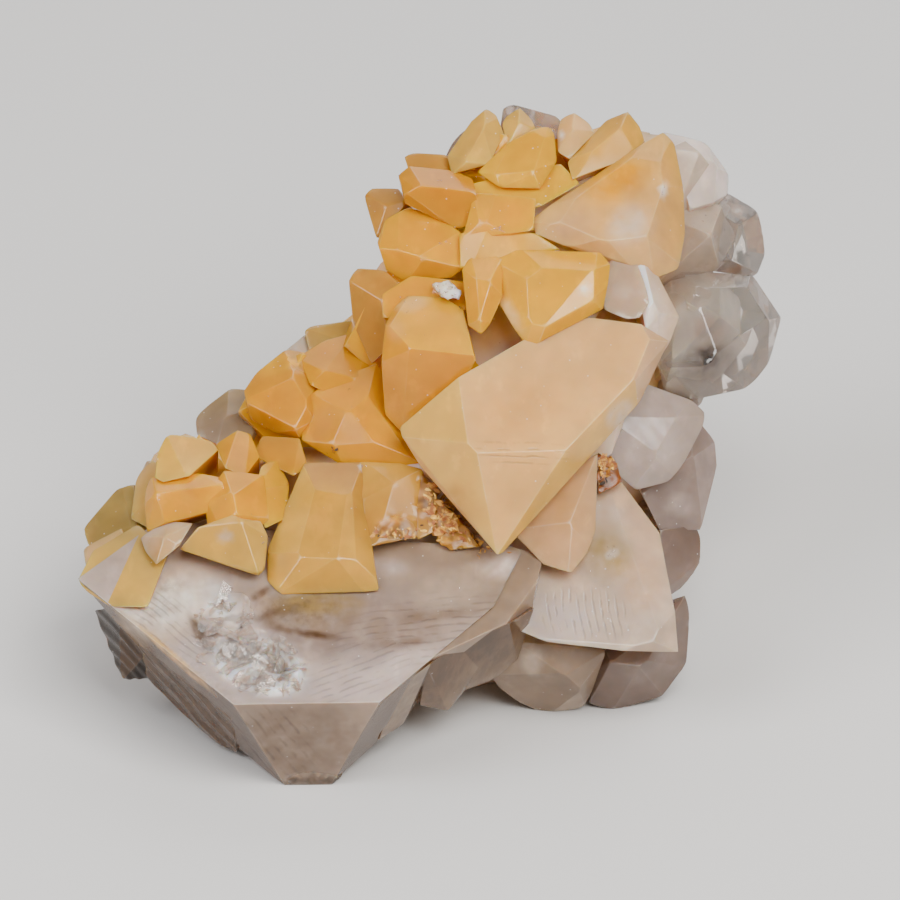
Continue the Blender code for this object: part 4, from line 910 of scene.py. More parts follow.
def crystal_faces(points):
    """The planes (normal, distance) of a crystal's flat faces: hull facets that nearly agree are one face."""
    shape = hull(points)
    facets = [
        (face.calc_area(), np.array(face.normal), np.array(face.calc_center_median())) for face in shape.faces
    ]
    facets.sort(key=lambda facet: -facet[0])
    shape.free()
    planes = []
    while facets:
        seed = facets[0][1]
        same = [facet for facet in facets if facet[1] @ seed > math.cos(FACE_MERGE)]
        facets = [facet for facet in facets if facet[1] @ seed <= math.cos(FACE_MERGE)]
        area = sum(facet[0] for facet in same)
        normal = sum(facet[0] * facet[1] for facet in same)
        normal = normal / np.linalg.norm(normal)
        planes.append((normal, sum(facet[0] * (facet[2] @ normal) for facet in same) / area))
    return planes


def corners_between(planes):
    """The corners of the convex solid that some planes bound."""
    found = []
    for trio in itertools.combinations(planes, 3):
        normals = np.array([plane[0] for plane in trio])
        if abs(np.linalg.det(normals)) < 1e-3:
            continue
        corner = np.linalg.solve(normals, np.array([plane[1] for plane in trio]))
        if all(plane[0] @ corner <= plane[1] + 1e-8 for plane in planes):
            found.append(corner)
    return found


def drawn_crystal(corners, root):
    """A crystal with flat faces through its drawn corners, narrowing to its root."""
    middle = np.mean(corners, axis=0)
    behind = [np.array(root) + ROOT_SHARE * (np.array(corner) - middle) for corner in corners]
    points = [on_sheet(*corner) for corner in [*corners, *behind]]
    return hull(corners_between(crystal_faces(points)))


def along(line, spacing):
    """Points about this far apart on a line in plan, each with the way that faces out of the mass."""
    ends = [Vector(end) for end in line]
    steps = [(after - before).length for before, after in itertools.pairwise(ends)]
    count = round(sum(steps) / spacing)
    for place in range(count + 1):
        left = sum(steps) * place / count
        leg = 0
        while leg < len(steps) - 1 and left > steps[leg]:
            left -= steps[leg]
            leg += 1
        course = (ends[leg + 1] - ends[leg]) / steps[leg]
        yield ends[leg] + course * left, Vector((course.y, -course.x, 0))


def back_crystals():
    """Six-sided crystals with three-faced tips, standing out of the mass where the front ones stop."""
    pick = random.Random(BACK_SEED)
    for height, rise, line in BACK_ROWS:
        for at, outward in along(line, BACK_SPACING):
            aim = math.radians(rise + pick.uniform(-13, 13))
            turned = Matrix.Rotation(math.radians(pick.uniform(-15, 15)), 3, "Z") @ outward
            axis = (turned * math.cos(aim) + Vector((0, 0, math.sin(aim)))).normalized()
            place = Vector(in_frame(at.x + pick.uniform(-1, 1), at.y, height + pick.uniform(-1.3, 1.3)))
            width = pick.uniform(*BACK_WIDTHS)
            steep = pick.choice((CLEAVAGE_RISE, NAILHEAD_RISE))
            tip = place + axis * (BACK_PROUD + pick.uniform(-0.6, 1.0)) * MM
            yield six_sided(tip, axis, pick.uniform(0, 120), width, steep)


def six_sided(tip, axis, turn, width, steep):
    """A prism under a three-faced tip."""
    side = axis.orthogonal().normalized()
    points = [tip]
    for corner in range(6):
        out = Matrix.Rotation(math.radians(turn + 60 * corner), 3, axis) @ side
        drop = steep * width * (1.0 if corner % 2 == 0 else 0.5)
        points.append(tip + (out * width - axis * drop) * MM)
        points.append(tip + (out * width * 0.8 - axis * BACK_LENGTH) * MM)
    return hull(points)


def numbered(shape, number):
    """Marks each flat face of a crystal with the crystal's number and its own."""
    bmesh.ops.dissolve_limit(shape, angle_limit=math.radians(0.3), verts=shape.verts, edges=shape.edges)
    numbers = shape.faces.layers.int.new("facet")
    for place, face in enumerate(shape.faces):
        face[numbers] = number * FACETS_EACH + place
    return shape


def helper(name, shape):
    """An object made of a bmesh, for a Boolean to read."""
    mesh = bpy.data.meshes.new(name)
    shape.to_mesh(mesh)
    shape.free()
    return bpy.data.objects.new(name, mesh)


def combined(first, name, operation, other=None, family=None):
    """The mesh of an object after one Boolean with another object or a whole collection."""
    cut = first.modifiers.new(name, "BOOLEAN")
    cut.operation = operation
    cut.solver = "MANIFOLD"
    if family:
        cut.operand_type = "COLLECTION"
        cut.collection = family
    else:
        cut.object = other
    return bpy.data.meshes.new_from_object(first.evaluated_get(bpy.context.evaluated_depsgraph_get()))


def outside_only(shape):
    """Removes the skins of pockets sealed inside the mass."""
    skins = []
    unseen = set(shape.verts)
    while unseen:
        skin = set()
        edge = {unseen.pop()}
        while edge:
            skin |= edge
            edge = {link.other_vert(vert) for vert in edge for link in vert.link_edges} - skin
        unseen -= skin
        skins.append(skin)
    outside = max(skins, key=len)
    bmesh.ops.delete(shape, geom=[vert for vert in shape.verts if vert not in outside], context="VERTS")


def grown_cluster(growths, whole):
    """The numbered crystals joined as one closed bmesh, flat where it rests; whole leaves no loose part."""
    family = bpy.data.collections.new("growths")
    bpy.context.scene.collection.children.link(family)
    first = None
    for number, shape in growths:
        piece = helper(f"growth_{number}", numbered(shape, number))
        if first is None:
            first = piece
            bpy.context.scene.collection.objects.link(first)
        else:
            family.objects.link(piece)
    joined = bpy.data.objects.new("joined", combined(first, "grown together", "UNION", family=family))
    bpy.context.scene.collection.objects.link(joined)
    block = bmesh.new()
    under = Matrix.Translation((0, 0, -FLOOR_BLOCK / 2 * MM))
    bmesh.ops.create_cube(block, size=FLOOR_BLOCK * MM, matrix=under)
    floor_cut = helper("floor_cut", block)
    bpy.context.scene.collection.objects.link(floor_cut)
    rested = combined(joined, "flat where it rests", "DIFFERENCE", other=floor_cut)
    shape = bmesh.new()
    shape.from_mesh(rested)
    if whole:
        outside_only(shape)
    for spare in [first, joined, floor_cut, *family.objects]:
        bpy.data.objects.remove(spare)
    bpy.data.collections.remove(family)
    return shape


def side_length(middle, normal, crystal):
    """How long a side of the skin may be at a place on a crystal, in mm."""
    if middle.z < 0.2 * MM and normal.z < -0.9:
        return SKIN_FOOT
    toward = -normal.y * math.cos(LEAN) + normal.z * math.sin(LEAN)
    if toward < -0.05:
        return SKIN_BACK
    return SKIN_CARVED if NAMES[crystal] in CARVED_ONES else SKIN_FRONT


def inner_points(outline, side):
    """Points for the inside of a flat outline: a row close to its edge, then an even field."""
    after = np.roll(outline, -1, axis=0)
    course = after - outline
    lengths = np.linalg.norm(course, axis=1)
    course = course / np.maximum(lengths, 1e-9)[:, None]
    inward = np.stack([-course[:, 1], course[:, 0]], axis=1)
    both = inward + np.roll(inward, 1, axis=0)
    both = both / np.maximum(np.linalg.norm(both, axis=1), 1e-9)[:, None]
    row = outline + both * EDGE_ROW
    low, high = outline.min(axis=0), outline.max(axis=0)
    rise = side * math.sqrt(3) / 2
    field = [
        (low[0] + side * (across + 0.5 * (up % 2)), low[1] + rise * up)
        for up in range(int((high[1] - low[1]) / rise) + 1)
        for across in range(int((high[0] - low[0]) / side) + 1)
    ]
    kept = []
    for points, margin in ((row, EDGE_ROW * 0.85), (np.array(field).reshape(-1, 2), EDGE_ROW + side * 0.45)):
        if not len(points):
            continue
        from_start = points[:, None, :] - outline[None, :, :]
        share = np.clip((from_start * course[None]).sum(-1), 0, lengths[None])
        away = np.linalg.norm(from_start - share[..., None] * course[None], axis=-1).min(axis=1)
        crosses = (outline[None, :, 1] > points[:, None, 1]) != (after[None, :, 1] > points[:, None, 1])
        run = after - outline
        drop = np.where(np.abs(run[:, 1]) < 1e-12, 1e-12, run[:, 1])
        meets = outline[None, :, 0] + from_start[..., 1] * run[None, :, 0] / drop
        inside = (crosses & (points[:, None, 0] < meets)).sum(axis=1) % 2 == 1
        kept.extend(points[inside & (away > margin)])
    return kept


def outline_of(face):
    """A face's middle, its two directions and its corners along them, in mm."""
    middle = face.calc_center_median() / MM
    right = face.normal.orthogonal().normalized()
    across = (right, face.normal.cross(right))
    corners = [vert.co / MM - middle for vert in face.verts]
    return middle, across, np.array([[corner.dot(way) for way in across] for corner in corners])


def flat_triangles(outline, inner):
    """The corners of a flat outline and the points in it, where each came from, and their triangles."""
    spots = [Vector(point) for point in [*outline, *inner]]
    found, _, made, origins, _, _ = delaunay_2d_cdt(spots, [], [list(range(len(outline)))], 1, 1e-6)
    if inner and len(made) != len(outline) + 2 * len(inner) - 2:
        return flat_triangles(outline, [])
    return found, origins, made


def even_skin(shape):
    """The same skin in small even triangles, as corner places in mm, triangles and their facets' numbers."""
    bmesh.ops.dissolve_degenerate(shape, edges=shape.edges, dist=SLIVER * MM)
    bmesh.ops.dissolve_limit(shape, angle_limit=math.radians(0.2), verts=shape.verts, edges=shape.edges)
    bmesh.ops.delete(shape, geom=[edge for edge in shape.edges if not edge.link_faces], context="EDGES")
    counts = [len(flat_triangles(outline_of(face)[2], [])[2]) for face in shape.faces]
    pinched = [face for face, count in zip(shape.faces, counts) if count != len(face.verts) - 2]
    bmesh.ops.triangulate(shape, faces=pinched)
    numbers = shape.faces.layers.int["facet"]
    cuts = {}
    for edge in shape.edges:
        middle = (edge.verts[0].co + edge.verts[1].co) / 2
        side = min(side_length(middle, face.normal, face[numbers] // FACETS_EACH) for face in edge.link_faces)
        parts = math.ceil(edge.calc_length() / (side * MM))
        if parts > 1:
            cuts.setdefault(parts - 1, []).append(edge)
    for count, edges in cuts.items():
        bmesh.ops.bisect_edges(shape, edges=edges, cuts=count)
    shape.verts.index_update()
    places = [vert.co / MM for vert in shape.verts]
    triangles, facets = [], []
    for face in shape.faces:
        loop = [vert.index for vert in face.verts]
        start, across, outline = outline_of(face)
        side = side_length(face.calc_center_median(), face.normal, face[numbers] // FACETS_EACH)
        inner = inner_points(outline, side)
        found, origins, made = flat_triangles(outline, inner)
        names = []
        for at, origin in zip(found, origins):
            if origin and origin[0] < len(loop):
                names.append(loop[origin[0]])
            else:
                names.append(len(places))
                places.append(start + across[0] * at.x + across[1] * at.y)
        triangles.extend([names[corner] for corner in trio] for trio in made)
        facets.extend([face[numbers]] * len(made))
    return np.array(places), np.array(triangles), np.array(facets)


def sides_of(triangles):
    """Every side of the triangles once, with the two triangles that meet there."""
    sides = np.concatenate([triangles[:, pair] for pair in ([0, 1], [1, 2], [2, 0])])
    sides = np.sort(sides, axis=1)
    owners = np.tile(np.arange(len(triangles)), 3)
    single, which, count = np.unique(sides, axis=0, return_inverse=True, return_counts=True)
    owners = owners[np.argsort(which.ravel(), kind="stable")]
    last = np.cumsum(count) - 1
    return single, np.stack([owners[last - count + 1], owners[last]], axis=1)


def facing(places, triangles):
    """Each triangle's normal and middle, and each corner's normal."""
    corners = places[triangles]
    across = np.cross(corners[:, 1] - corners[:, 0], corners[:, 2] - corners[:, 0])
    normals = across / np.maximum(np.linalg.norm(across, axis=1), 1e-12)[:, None]
    at_corners = np.zeros_like(places)
    for place in range(3):
        np.add.at(at_corners, triangles[:, place], across)
    at_corners /= np.maximum(np.linalg.norm(at_corners, axis=1), 1e-12)[:, None]
    return normals, corners.mean(axis=1), at_corners


def smooth(share):
    """A share from 0 to 1 with soft ends."""
    share = np.clip(share, 0, 1)
    return share * share * (3 - 2 * share)


def waves(places, length, offset=0.0):
    """Slow noise from about -1 to 1 at each place."""
    shift = Vector((offset, offset * 0.7, offset * 1.3))
    return np.array([noise.noise(Vector(place) / length + shift) for place in places])


def spot(seen, middle, reach, turn=0.0, soft=0.5):
    """1 in the middle of an oval as the camera sees it, fading to 0 at its rim."""
    right, down = seen[0] - middle[0], seen[1] - middle[1]
    lean = math.radians(turn)
    along_it = right * math.cos(lean) + down * math.sin(lean)
    across_it = down * math.cos(lean) - right * math.sin(lean)
    away = np.hypot(along_it / reach[0], across_it / reach[1])
    return smooth((1 - away) / soft)


def worn_edges(places, triangles):
    """Rounds the edges that stand out; also how worn and how near an edge each corner is, and the valleys."""
    sides, owners = sides_of(triangles)
    normals, middles, _ = facing(places, triangles)
    first, second = owners[:, 0], owners[:, 1]
    bend = np.degrees(np.arccos(np.clip((normals[first] * normals[second]).sum(1), -1, 1)))
    outward = ((middles[second] - middles[first]) * normals[first]).sum(1) < 0
    on_edge = np.zeros(len(places))
    for place in (0, 1):
        np.maximum.at(on_edge, sides[:, place], np.where(outward, bend, 0))
    on_valley = np.zeros(len(places), bool)
    on_valley[sides[(bend > VALLEY_BEND) & ~outward].ravel()] = True
    wear_and_sheen = smooth((on_edge - WORN_FROM) / WORN_OVER) * ~on_valley
    drawn, count = np.zeros_like(places), np.zeros(len(places))
    for one, other in ((0, 1), (1, 0)):
        np.add.at(drawn, sides[:, one], places[sides[:, other]])
        np.add.at(count, sides[:, one], 1)
    pull = wear_and_sheen * (WORN_SHARE + WORN_CHANGE * waves(places, 1.7, 5.0))
    moved = places + (drawn / count[:, None] - places) * pull[:, None]
    moved[:, 2] = np.maximum(moved[:, 2], 0.0)
    rim = np.where(on_edge > RIM_FROM, 1.0, 0.0)
    for _ in range(RIM_ROWS):
        total = np.zeros(len(places))
        for one, other in ((0, 1), (1, 0)):
            np.add.at(total, sides[:, one], rim[sides[:, other]])
        rim = np.maximum(total / count, rim * 0.5)
    return moved, wear_and_sheen, rim, sides[(bend > VALLEY_BEND) & ~outward]


def ridge_run(places, crystal, ridge):
    """How strong one ridged patch is at some places, and how many ridges lie between them and its middle."""
    name, middle, reach, turn, run, bow, period, _ = ridge
    seen = as_seen(places * MM)
    mask = spot(seen, middle, reach, turn, 0.5) * (crystal == NUMBER[name])
    lean = math.radians(run)
    across_it = (seen[1] - middle[1]) * math.cos(lean) - (seen[0] - middle[0]) * math.sin(lean)
    along_it = (seen[0] - middle[0]) * math.cos(lean) + (seen[1] - middle[1]) * math.sin(lean)
    return mask, (across_it + bow * along_it**2 + 0.25 * waves(places, 4.0, 3.0)) / period


def carved(places, triangles, crystal_at):
    """The skin with slow waves, broken patches and ridges in it; also each corner's tone as a chip."""
    _, _, normals = facing(places, triangles)
    seen = as_seen(places * MM)
    rise = WAVE_HEIGHT * waves(places, WAVE_LENGTH)
    rise += 0.3 * WAVE_HEIGHT * waves(places, WAVE_LENGTH / 3.5, 9.0)
    tone = np.zeros(len(places))
    for name, middle, reach, turn, cell, height in BROKEN:
        mask = spot(seen, middle, reach, turn, 0.35) * (crystal_at == NUMBER[name])
        for at in np.nonzero(mask > 0.01)[0]:
            bent = Vector(places[at]) / cell + noise.noise_vector(Vector(places[at]) / cell * 0.8) * 0.5
            _, near = noise.voronoi(bent)
            lean = noise.noise_vector(near[0] * 7.3)
            tilt = (bent - near[0]).dot(lean) * 2.2 + noise.noise(near[0] * 3.1) * 0.9
            rise[at] += mask[at] * height * tilt
            tone[at] = mask[at] * noise.noise(near[0] * 5.7)
    for ridge in RIDGES:
        if ridge[6] > FINE_RIDGES or ridge[7] > 0.1:
            mask, phase = ridge_run(places, crystal_at, ridge)
            rise += mask * ridge[7] * (2 * np.abs(phase % 1 - 0.5) - 0.5)
    moved = places + normals * (rise * smooth(places[:, 2] / 0.8))[:, None]
    moved[:, 2] = np.maximum(moved[:, 2], 0.0)
    return moved, tone


def mixed(one, other, share):
    """One colour going over to another where the share is 1."""
    share = np.asarray(share)[..., None]
    return one * (1 - share) + other * share


def yellow_share(places):
    """How yellow the mass is at a place in the cluster's frame: the yellow lies high and to the left."""
    right, high = places[:, 0], places[:, 2]
    return smooth((high - 11) / 12) * smooth((26 - right) / 9)


def tints(places, triangles, facets, wear_and_sheen, rim, chips, tree):
    """Each triangle corner's colour, how clear, broken and fibrous it is there, and its fine ridges."""
    corners = places[triangles]
    flat = corners.reshape(-1, 3)
    seen = [part.reshape(-1, 3) for part in as_seen(flat * MM)]
    crystal = facets // FACETS_EACH
    tint = np.zeros((len(triangles), 3, 3))
    marks = np.zeros((len(triangles), 3, 3))
    slow = waves(places, 5.0)[triangles]
    for number, name in enumerate(NAMES):
        mine = crystal == number
        if not mine.any():
            continue
        if name in LOOKS:
            tip_name, root_name, clear = LOOKS[name]
            if name in CORES:
                share = smooth(slow[mine] * 0.8 + 0.5)
            else:
                drawn, root = CRYSTALS[name]
                start = np.array(on_sheet(*np.mean(drawn, axis=0))) / MM
                axis = np.array(on_sheet(*root)) / MM - start
                share = smooth(((corners[mine] - start) @ axis / (axis @ axis) + 0.35) / 0.9)
            tint[mine] = mixed(colour(tip_name), colour(root_name), share)
            marks[mine, :, 0] = clear
        else:
            share = yellow_share(flat).reshape(-1, 3)[mine]
            shade = random.Random(number).uniform(0.0, 1.0)
            pale = mixed(colour("milky"), colour("taupe"), shade)
            warm = mixed(colour("gold"), colour("honey"), shade)
            tint[mine] = mixed(pale, warm, share)
            marks[mine, :, 0] = 0.45 * (1 - share) + 0.2 * share
    ripple = (0.95 + 0.6 * waves(places, 1.5, 7.0) + 0.4 * waves(places, 0.6, 4.0))[triangles]
    _, face_at = np.unique(facets, return_inverse=True)
    tones = random.Random(TONE_SEED)
    tone = np.array([1 + tones.uniform(-FACE_TONE, FACE_TONE) for _ in range(face_at.max() + 1)])
    tint *= tone[face_at.ravel()][:, None, None]
    for across, down, laid, strength in FACES:
        _, _, hit = seen_spot(tree, across, down)
        if hit is not None:
            mine = facets == facets[hit]
            tint[mine] = mixed(tint[mine], colour(laid), strength)
    for name, middle, reach, turn, laid, strength, soft in VEILS_AND_PAINTED_LIGHT:
        share = np.clip(spot(seen, middle, reach, turn, soft) * strength * ripple, 0, 1)
        if name:
            share = share * (crystal == NUMBER[name])[:, None]
        tint = mixed(tint, colour(laid), share)
    for name in FIBROUS:
        marks[crystal == NUMBER[name], :, 2] = 1.0
    for kind, soft, patches in ((1, 0.5, BROKEN), (2, 0.8, STREAKED)):
        for name, middle, reach, turn, *_ in patches:
            share = spot(seen, middle, reach, turn, soft) * (crystal == NUMBER[name])[:, None]
            marks[..., kind] = np.maximum(marks[..., kind], share)
    tint = tint * (1 + 0.9 * chips[triangles][..., None])
    # painted light: paler on the rims and deeper away from them, as if light glowed through the thin edges
    tint = np.clip(tint, 0.001, 1) ** (DEEP - RIM_PALER * rim[triangles][..., None])
    marks[..., 0] += 0.25 * rim[triangles] - 0.05
    # painted sheen: white laid on the worn edges, partly chipped wear and partly light catching the edges
    pale = EDGE_WHITE * (wear_and_sheen * smooth(waves(places, 2.6, 2.0) * 1.6 + 0.2))[triangles]
    tint = np.clip(mixed(tint, colour("white"), pale), 0.0, 0.95)
    lines = np.zeros((len(triangles), 3, 3))
    for ridge in RIDGES:
        mine = crystal == NUMBER[ridge[0]]
        if ridge[6] <= FINE_RIDGES and mine.any():
            mask, phase = ridge_run(corners[mine].reshape(-1, 3), NUMBER[ridge[0]], ridge)
            mask, phase = mask.reshape(-1, 3), phase.reshape(-1, 3)
            lines[mine, :, 0] = np.where(mask > 0, phase, lines[mine, :, 0])
            lines[mine, :, 1] = np.maximum(lines[mine, :, 1], mask)
    return tint, marks, lines


def seen_spot(tree, across, down):
    """The place on a skin, its normal and its triangle where the camera sees a sheet point, in mm."""
    middle_across, middle_down, deep = VIEW_MIDDLE
    eye = Vector(on_sheet(middle_across, middle_down, deep - VIEW_AWAY)) / MM
    look = Vector(on_sheet(across, down, deep)) / MM - eye
    place, normal, hit, _ = tree.ray_cast(eye, look.normalized())
    return place, normal, hit


class Socket:
    """A node's output in sums: arithmetic on it adds Math nodes, and make adds every other node."""

    def __init__(self, tree, output=None):
        self.tree = tree
        self.output = output

    def make(self, kind, settings=None, inputs=None, out=0):
        """Adds one node: its settings first, then its sockets' values or links."""
        node = self.tree.nodes.new(kind)
        for setting, value in (settings or {}).items():
            setattr(node, setting, value)
        for name, value in (inputs or {}).items():
            if isinstance(value, Socket):
                self.tree.links.new(value.output, node.inputs[name])
            else:
                node.inputs[name].default_value = value
        return Socket(self.tree, node.outputs[out]) if node.outputs else None

    def math(self, operation, one, other):
        return self.make("ShaderNodeMath", {"operation": operation}, {0: one, 1: other})

    def __add__(self, other):
        return self.math("ADD", self, other)

    def __sub__(self, other):
        return self.math("SUBTRACT", self, other)

    def __rsub__(self, other):
        return self.math("SUBTRACT", other, self)

    def __mul__(self, other):
        return self.math("MULTIPLY", self, other)

    __radd__ = __add__
    __rmul__ = __mul__

    def between(self, low, high):
        """0 under low and 1 over high, with soft ends."""
        return self.make(
            "ShaderNodeMapRange",
            {"interpolation_type": "SMOOTHSTEP"},
            {"Value": self, "From Min": low, "From Max": high},
        )

    def blend(self, one, other):
        """One colour going over to another where this value is 1."""
        return self.make("ShaderNodeMix", {"data_type": "RGBA"}, {0: self, 6: one, 7: other}, out=2)

    def toned(self, strength):
        """This colour made lighter or darker."""
        return self.make(
            "ShaderNodeMix",
            {"data_type": "RGBA", "blend_type": "MULTIPLY", "clamp_result": False},
            {0: 1.0, 6: self, 7: (strength, strength, strength, 1.0)},
            out=2,
        )

    def parts(self):
        """The three parts of this colour."""
        node = self.make("ShaderNodeSeparateColor", inputs={"Color": self}).output.node
        return [Socket(self.tree, output) for output in node.outputs]


def paint(name):
    """A palette colour for a node's colour socket."""
    return (*colour(name), 1.0)


def new_material(name):
    """An empty material, with a start for its nodes and its output."""
    material = bpy.data.materials.new(name)
    material.use_nodes = True
    material.node_tree.nodes.clear()
    return material, Socket(material.node_tree)


def calcite(name, clearness, polish, smoky):
    """Milky to clear crystal: colour from the corners, with veils, fibres, growth lines and grain."""
    material, start = new_material(name)
    place = start.make("ShaderNodeTexCoord", out="Object")
    tint, marks, lines = (
        start.make("ShaderNodeAttribute", {"attribute_name": layer}, out="Color")
        for layer in ("tint", "marks", "lines")
    )
    clear, broken, fibrous = marks.parts()
    phase, lined, _ = lines.parts()

    def cloud(size, detail=3.0, roughness=0.5, stretch=None):
        at = place
        if stretch:
            turn, scale = stretch
            at = start.make("ShaderNodeMapping", inputs={"Vector": place, "Rotation": turn, "Scale": scale})
        inputs = {"Vector": at, "Scale": 1 / (size * MM), "Detail": detail, "Roughness": roughness}
        return start.make("ShaderNodeTexNoise", inputs=inputs)

    veil = cloud(5.0, 2.0, 0.5)
    depth = cloud(2.6, 2.0, 0.5)
    grain = cloud(0.35, 3.0, 0.6)
    uneven = cloud(1.6, 2.0)
    crest = phase.math("PINGPONG", phase + uneven * 0.6, 0.5)
    ridge = (1 - crest.between(0.04, 0.24)) * lined * uneven.between(0.38, 0.6)
    fibre = cloud(1.0, 4.0, 0.6, stretch=((0.0, math.radians(35), math.radians(-50)), (1.0, 1.0, 0.12)))
    fleck_near = start.make(
        "ShaderNodeTexVoronoi", {"feature": "F1"}, {"Vector": place, "Scale": 1 / (1.1 * MM)}, out="Distance"
    )

    base = (veil.between(0.35, 0.7) * 0.55).blend(tint, tint.toned(0.8))
    wisp = cloud(2.2, 3.0, 0.6, stretch=((0.4, 0.9, 0.2), (1.0, 0.3, 1.0)))
    base = (wisp.between(0.56, 0.72) * 0.4).blend(base, base.toned(1.35))
    base = (depth.between(0.55, 0.8) * 0.3).blend(base, base.toned(1.18))
    base = (fibrous * fibre.between(0.4, 0.62) * 0.6).blend(base, base.toned(0.62))
    base = (ridge * 0.75).blend(base, base.toned(0.6))
    fleck = (1 - fleck_near.between(0.03, 0.1)) * veil.between(0.45, 0.6)
    base = (fleck * 0.7).blend(base, paint("white"))

    height = grain * 0.01 + depth * 0.3 + fibrous * fibre * 1.2 + broken * fibre * 0.5 - ridge * 0.8
    bump = start.make(
        "ShaderNodeBump", inputs={"Strength": 0.3, "Distance": 0.1 * MM, "Height": height}, out="Normal"
    )
    rough = depth.between(0.3, 0.7) * 0.08 + grain * 0.04 + broken * 0.2 + polish

    milky = start.make(
        "ShaderNodeBsdfPrincipled",
        {"subsurface_method": "RANDOM_WALK"},
        {
            "Base Color": base,
            "Roughness": rough,
            "IOR": 1.6,
            "Normal": bump,
            "Specular IOR Level": 0.2,
            "Subsurface Weight": 0.8,
            "Subsurface Radius": (1.0, 0.6, 0.26),
            "Subsurface Scale": 1.9 * MM,
            "Transmission Weight": 0.22,
        },
    )
    clear_one = start.make(
        "ShaderNodeBsdfPrincipled",
        inputs={
            "Base Color": base,
            "Roughness": rough,
            "IOR": 1.6,
            "Normal": bump,
            "Transmission Weight": 0.9,
        },
    )
    factor = (clear * 0.6 + clearness + (depth - 0.5) * 0.4).between(0.0, 1.0)
    surface = start.make("ShaderNodeMixShader", inputs={0: factor, 1: milky, 2: clear_one})
    parts = {"Surface": surface}
    if smoky:
        parts["Volume"] = start.make(
            "ShaderNodeVolumeAbsorption", inputs={"Color": (0.62, 0.57, 0.52, 1.0), "Density": 13.0}
        )
    start.make("ShaderNodeOutputMaterial", inputs=parts)
    return material


def grown_names():
    """The name and the shape of every crystal, the broken mass first."""
    for name, points in CORES.items():
        yield name, hull([in_frame(*point) for point in points])
    for name, (corners, root) in CRYSTALS.items():
        yield name, drawn_crystal(corners, root)
    for place, shape in enumerate(back_crystals()):
        yield f"back_{place}", shape


def skin_mesh(name, places, triangles, layers, valleys):
    """The finished skin as a mesh, smooth but for its valleys, with its colours."""
    mesh = bpy.data.meshes.new(name)
    mesh.from_pydata(places * MM, [], triangles.tolist())
    for layer, values in zip(("tint", "marks", "lines"), layers):
        shown = mesh.attributes.new(layer, "FLOAT_COLOR", "CORNER")
        full = np.ones((len(triangles) * 3, 4), np.float32)
        full[:, :3] = values.reshape(-1, 3)
        shown.data.foreach_set("color", full.ravel())
    mesh.polygons.foreach_set("use_smooth", np.ones(len(triangles), bool))
    ends = np.empty(len(mesh.edges) * 2, np.int32)
    mesh.edges.foreach_get("vertices", ends)
    ends = np.sort(ends.reshape(-1, 2), axis=1)
    keys = ends[:, 0].astype(np.int64) * len(places) + ends[:, 1]
    sharp_keys = valleys[:, 0].astype(np.int64) * len(places) + valleys[:, 1]
    sharp = mesh.attributes.new("sharp_edge", "BOOLEAN", "EDGE")
    sharp.data.foreach_set("value", np.isin(keys, sharp_keys))
    return mesh


def bit_look(name, one, other, rough, clear):
    """Broken bits, rough or glassy: two colours in small patches, with pits."""
    material, start = new_material(name)
    place = start.make("ShaderNodeTexCoord", out="Object")
    patch = start.make("ShaderNodeTexNoise", inputs={"Vector": place, "Scale": 1 / (0.6 * MM), "Detail": 4.0})
    pits = start.make("ShaderNodeTexNoise", inputs={"Vector": place, "Scale": 1 / (0.12 * MM), "Detail": 3.0})
    base = patch.between(0.4, 0.62).blend(paint(one), paint(other))
    bump = start.make(
        "ShaderNodeBump", inputs={"Strength": 0.4, "Distance": 0.05 * MM, "Height": pits}, out="Normal"
    )
    shade = start.make(
        "ShaderNodeBsdfPrincipled",
        inputs={
            "Base Color": base,
            "Roughness": pits.between(0.3, 0.7) * 0.15 + rough,
            "IOR": 1.6,
            "Normal": bump,
            "Transmission Weight": clear,
        },
    )
    start.make("ShaderNodeOutputMaterial", inputs={"Surface": shade})
    return material


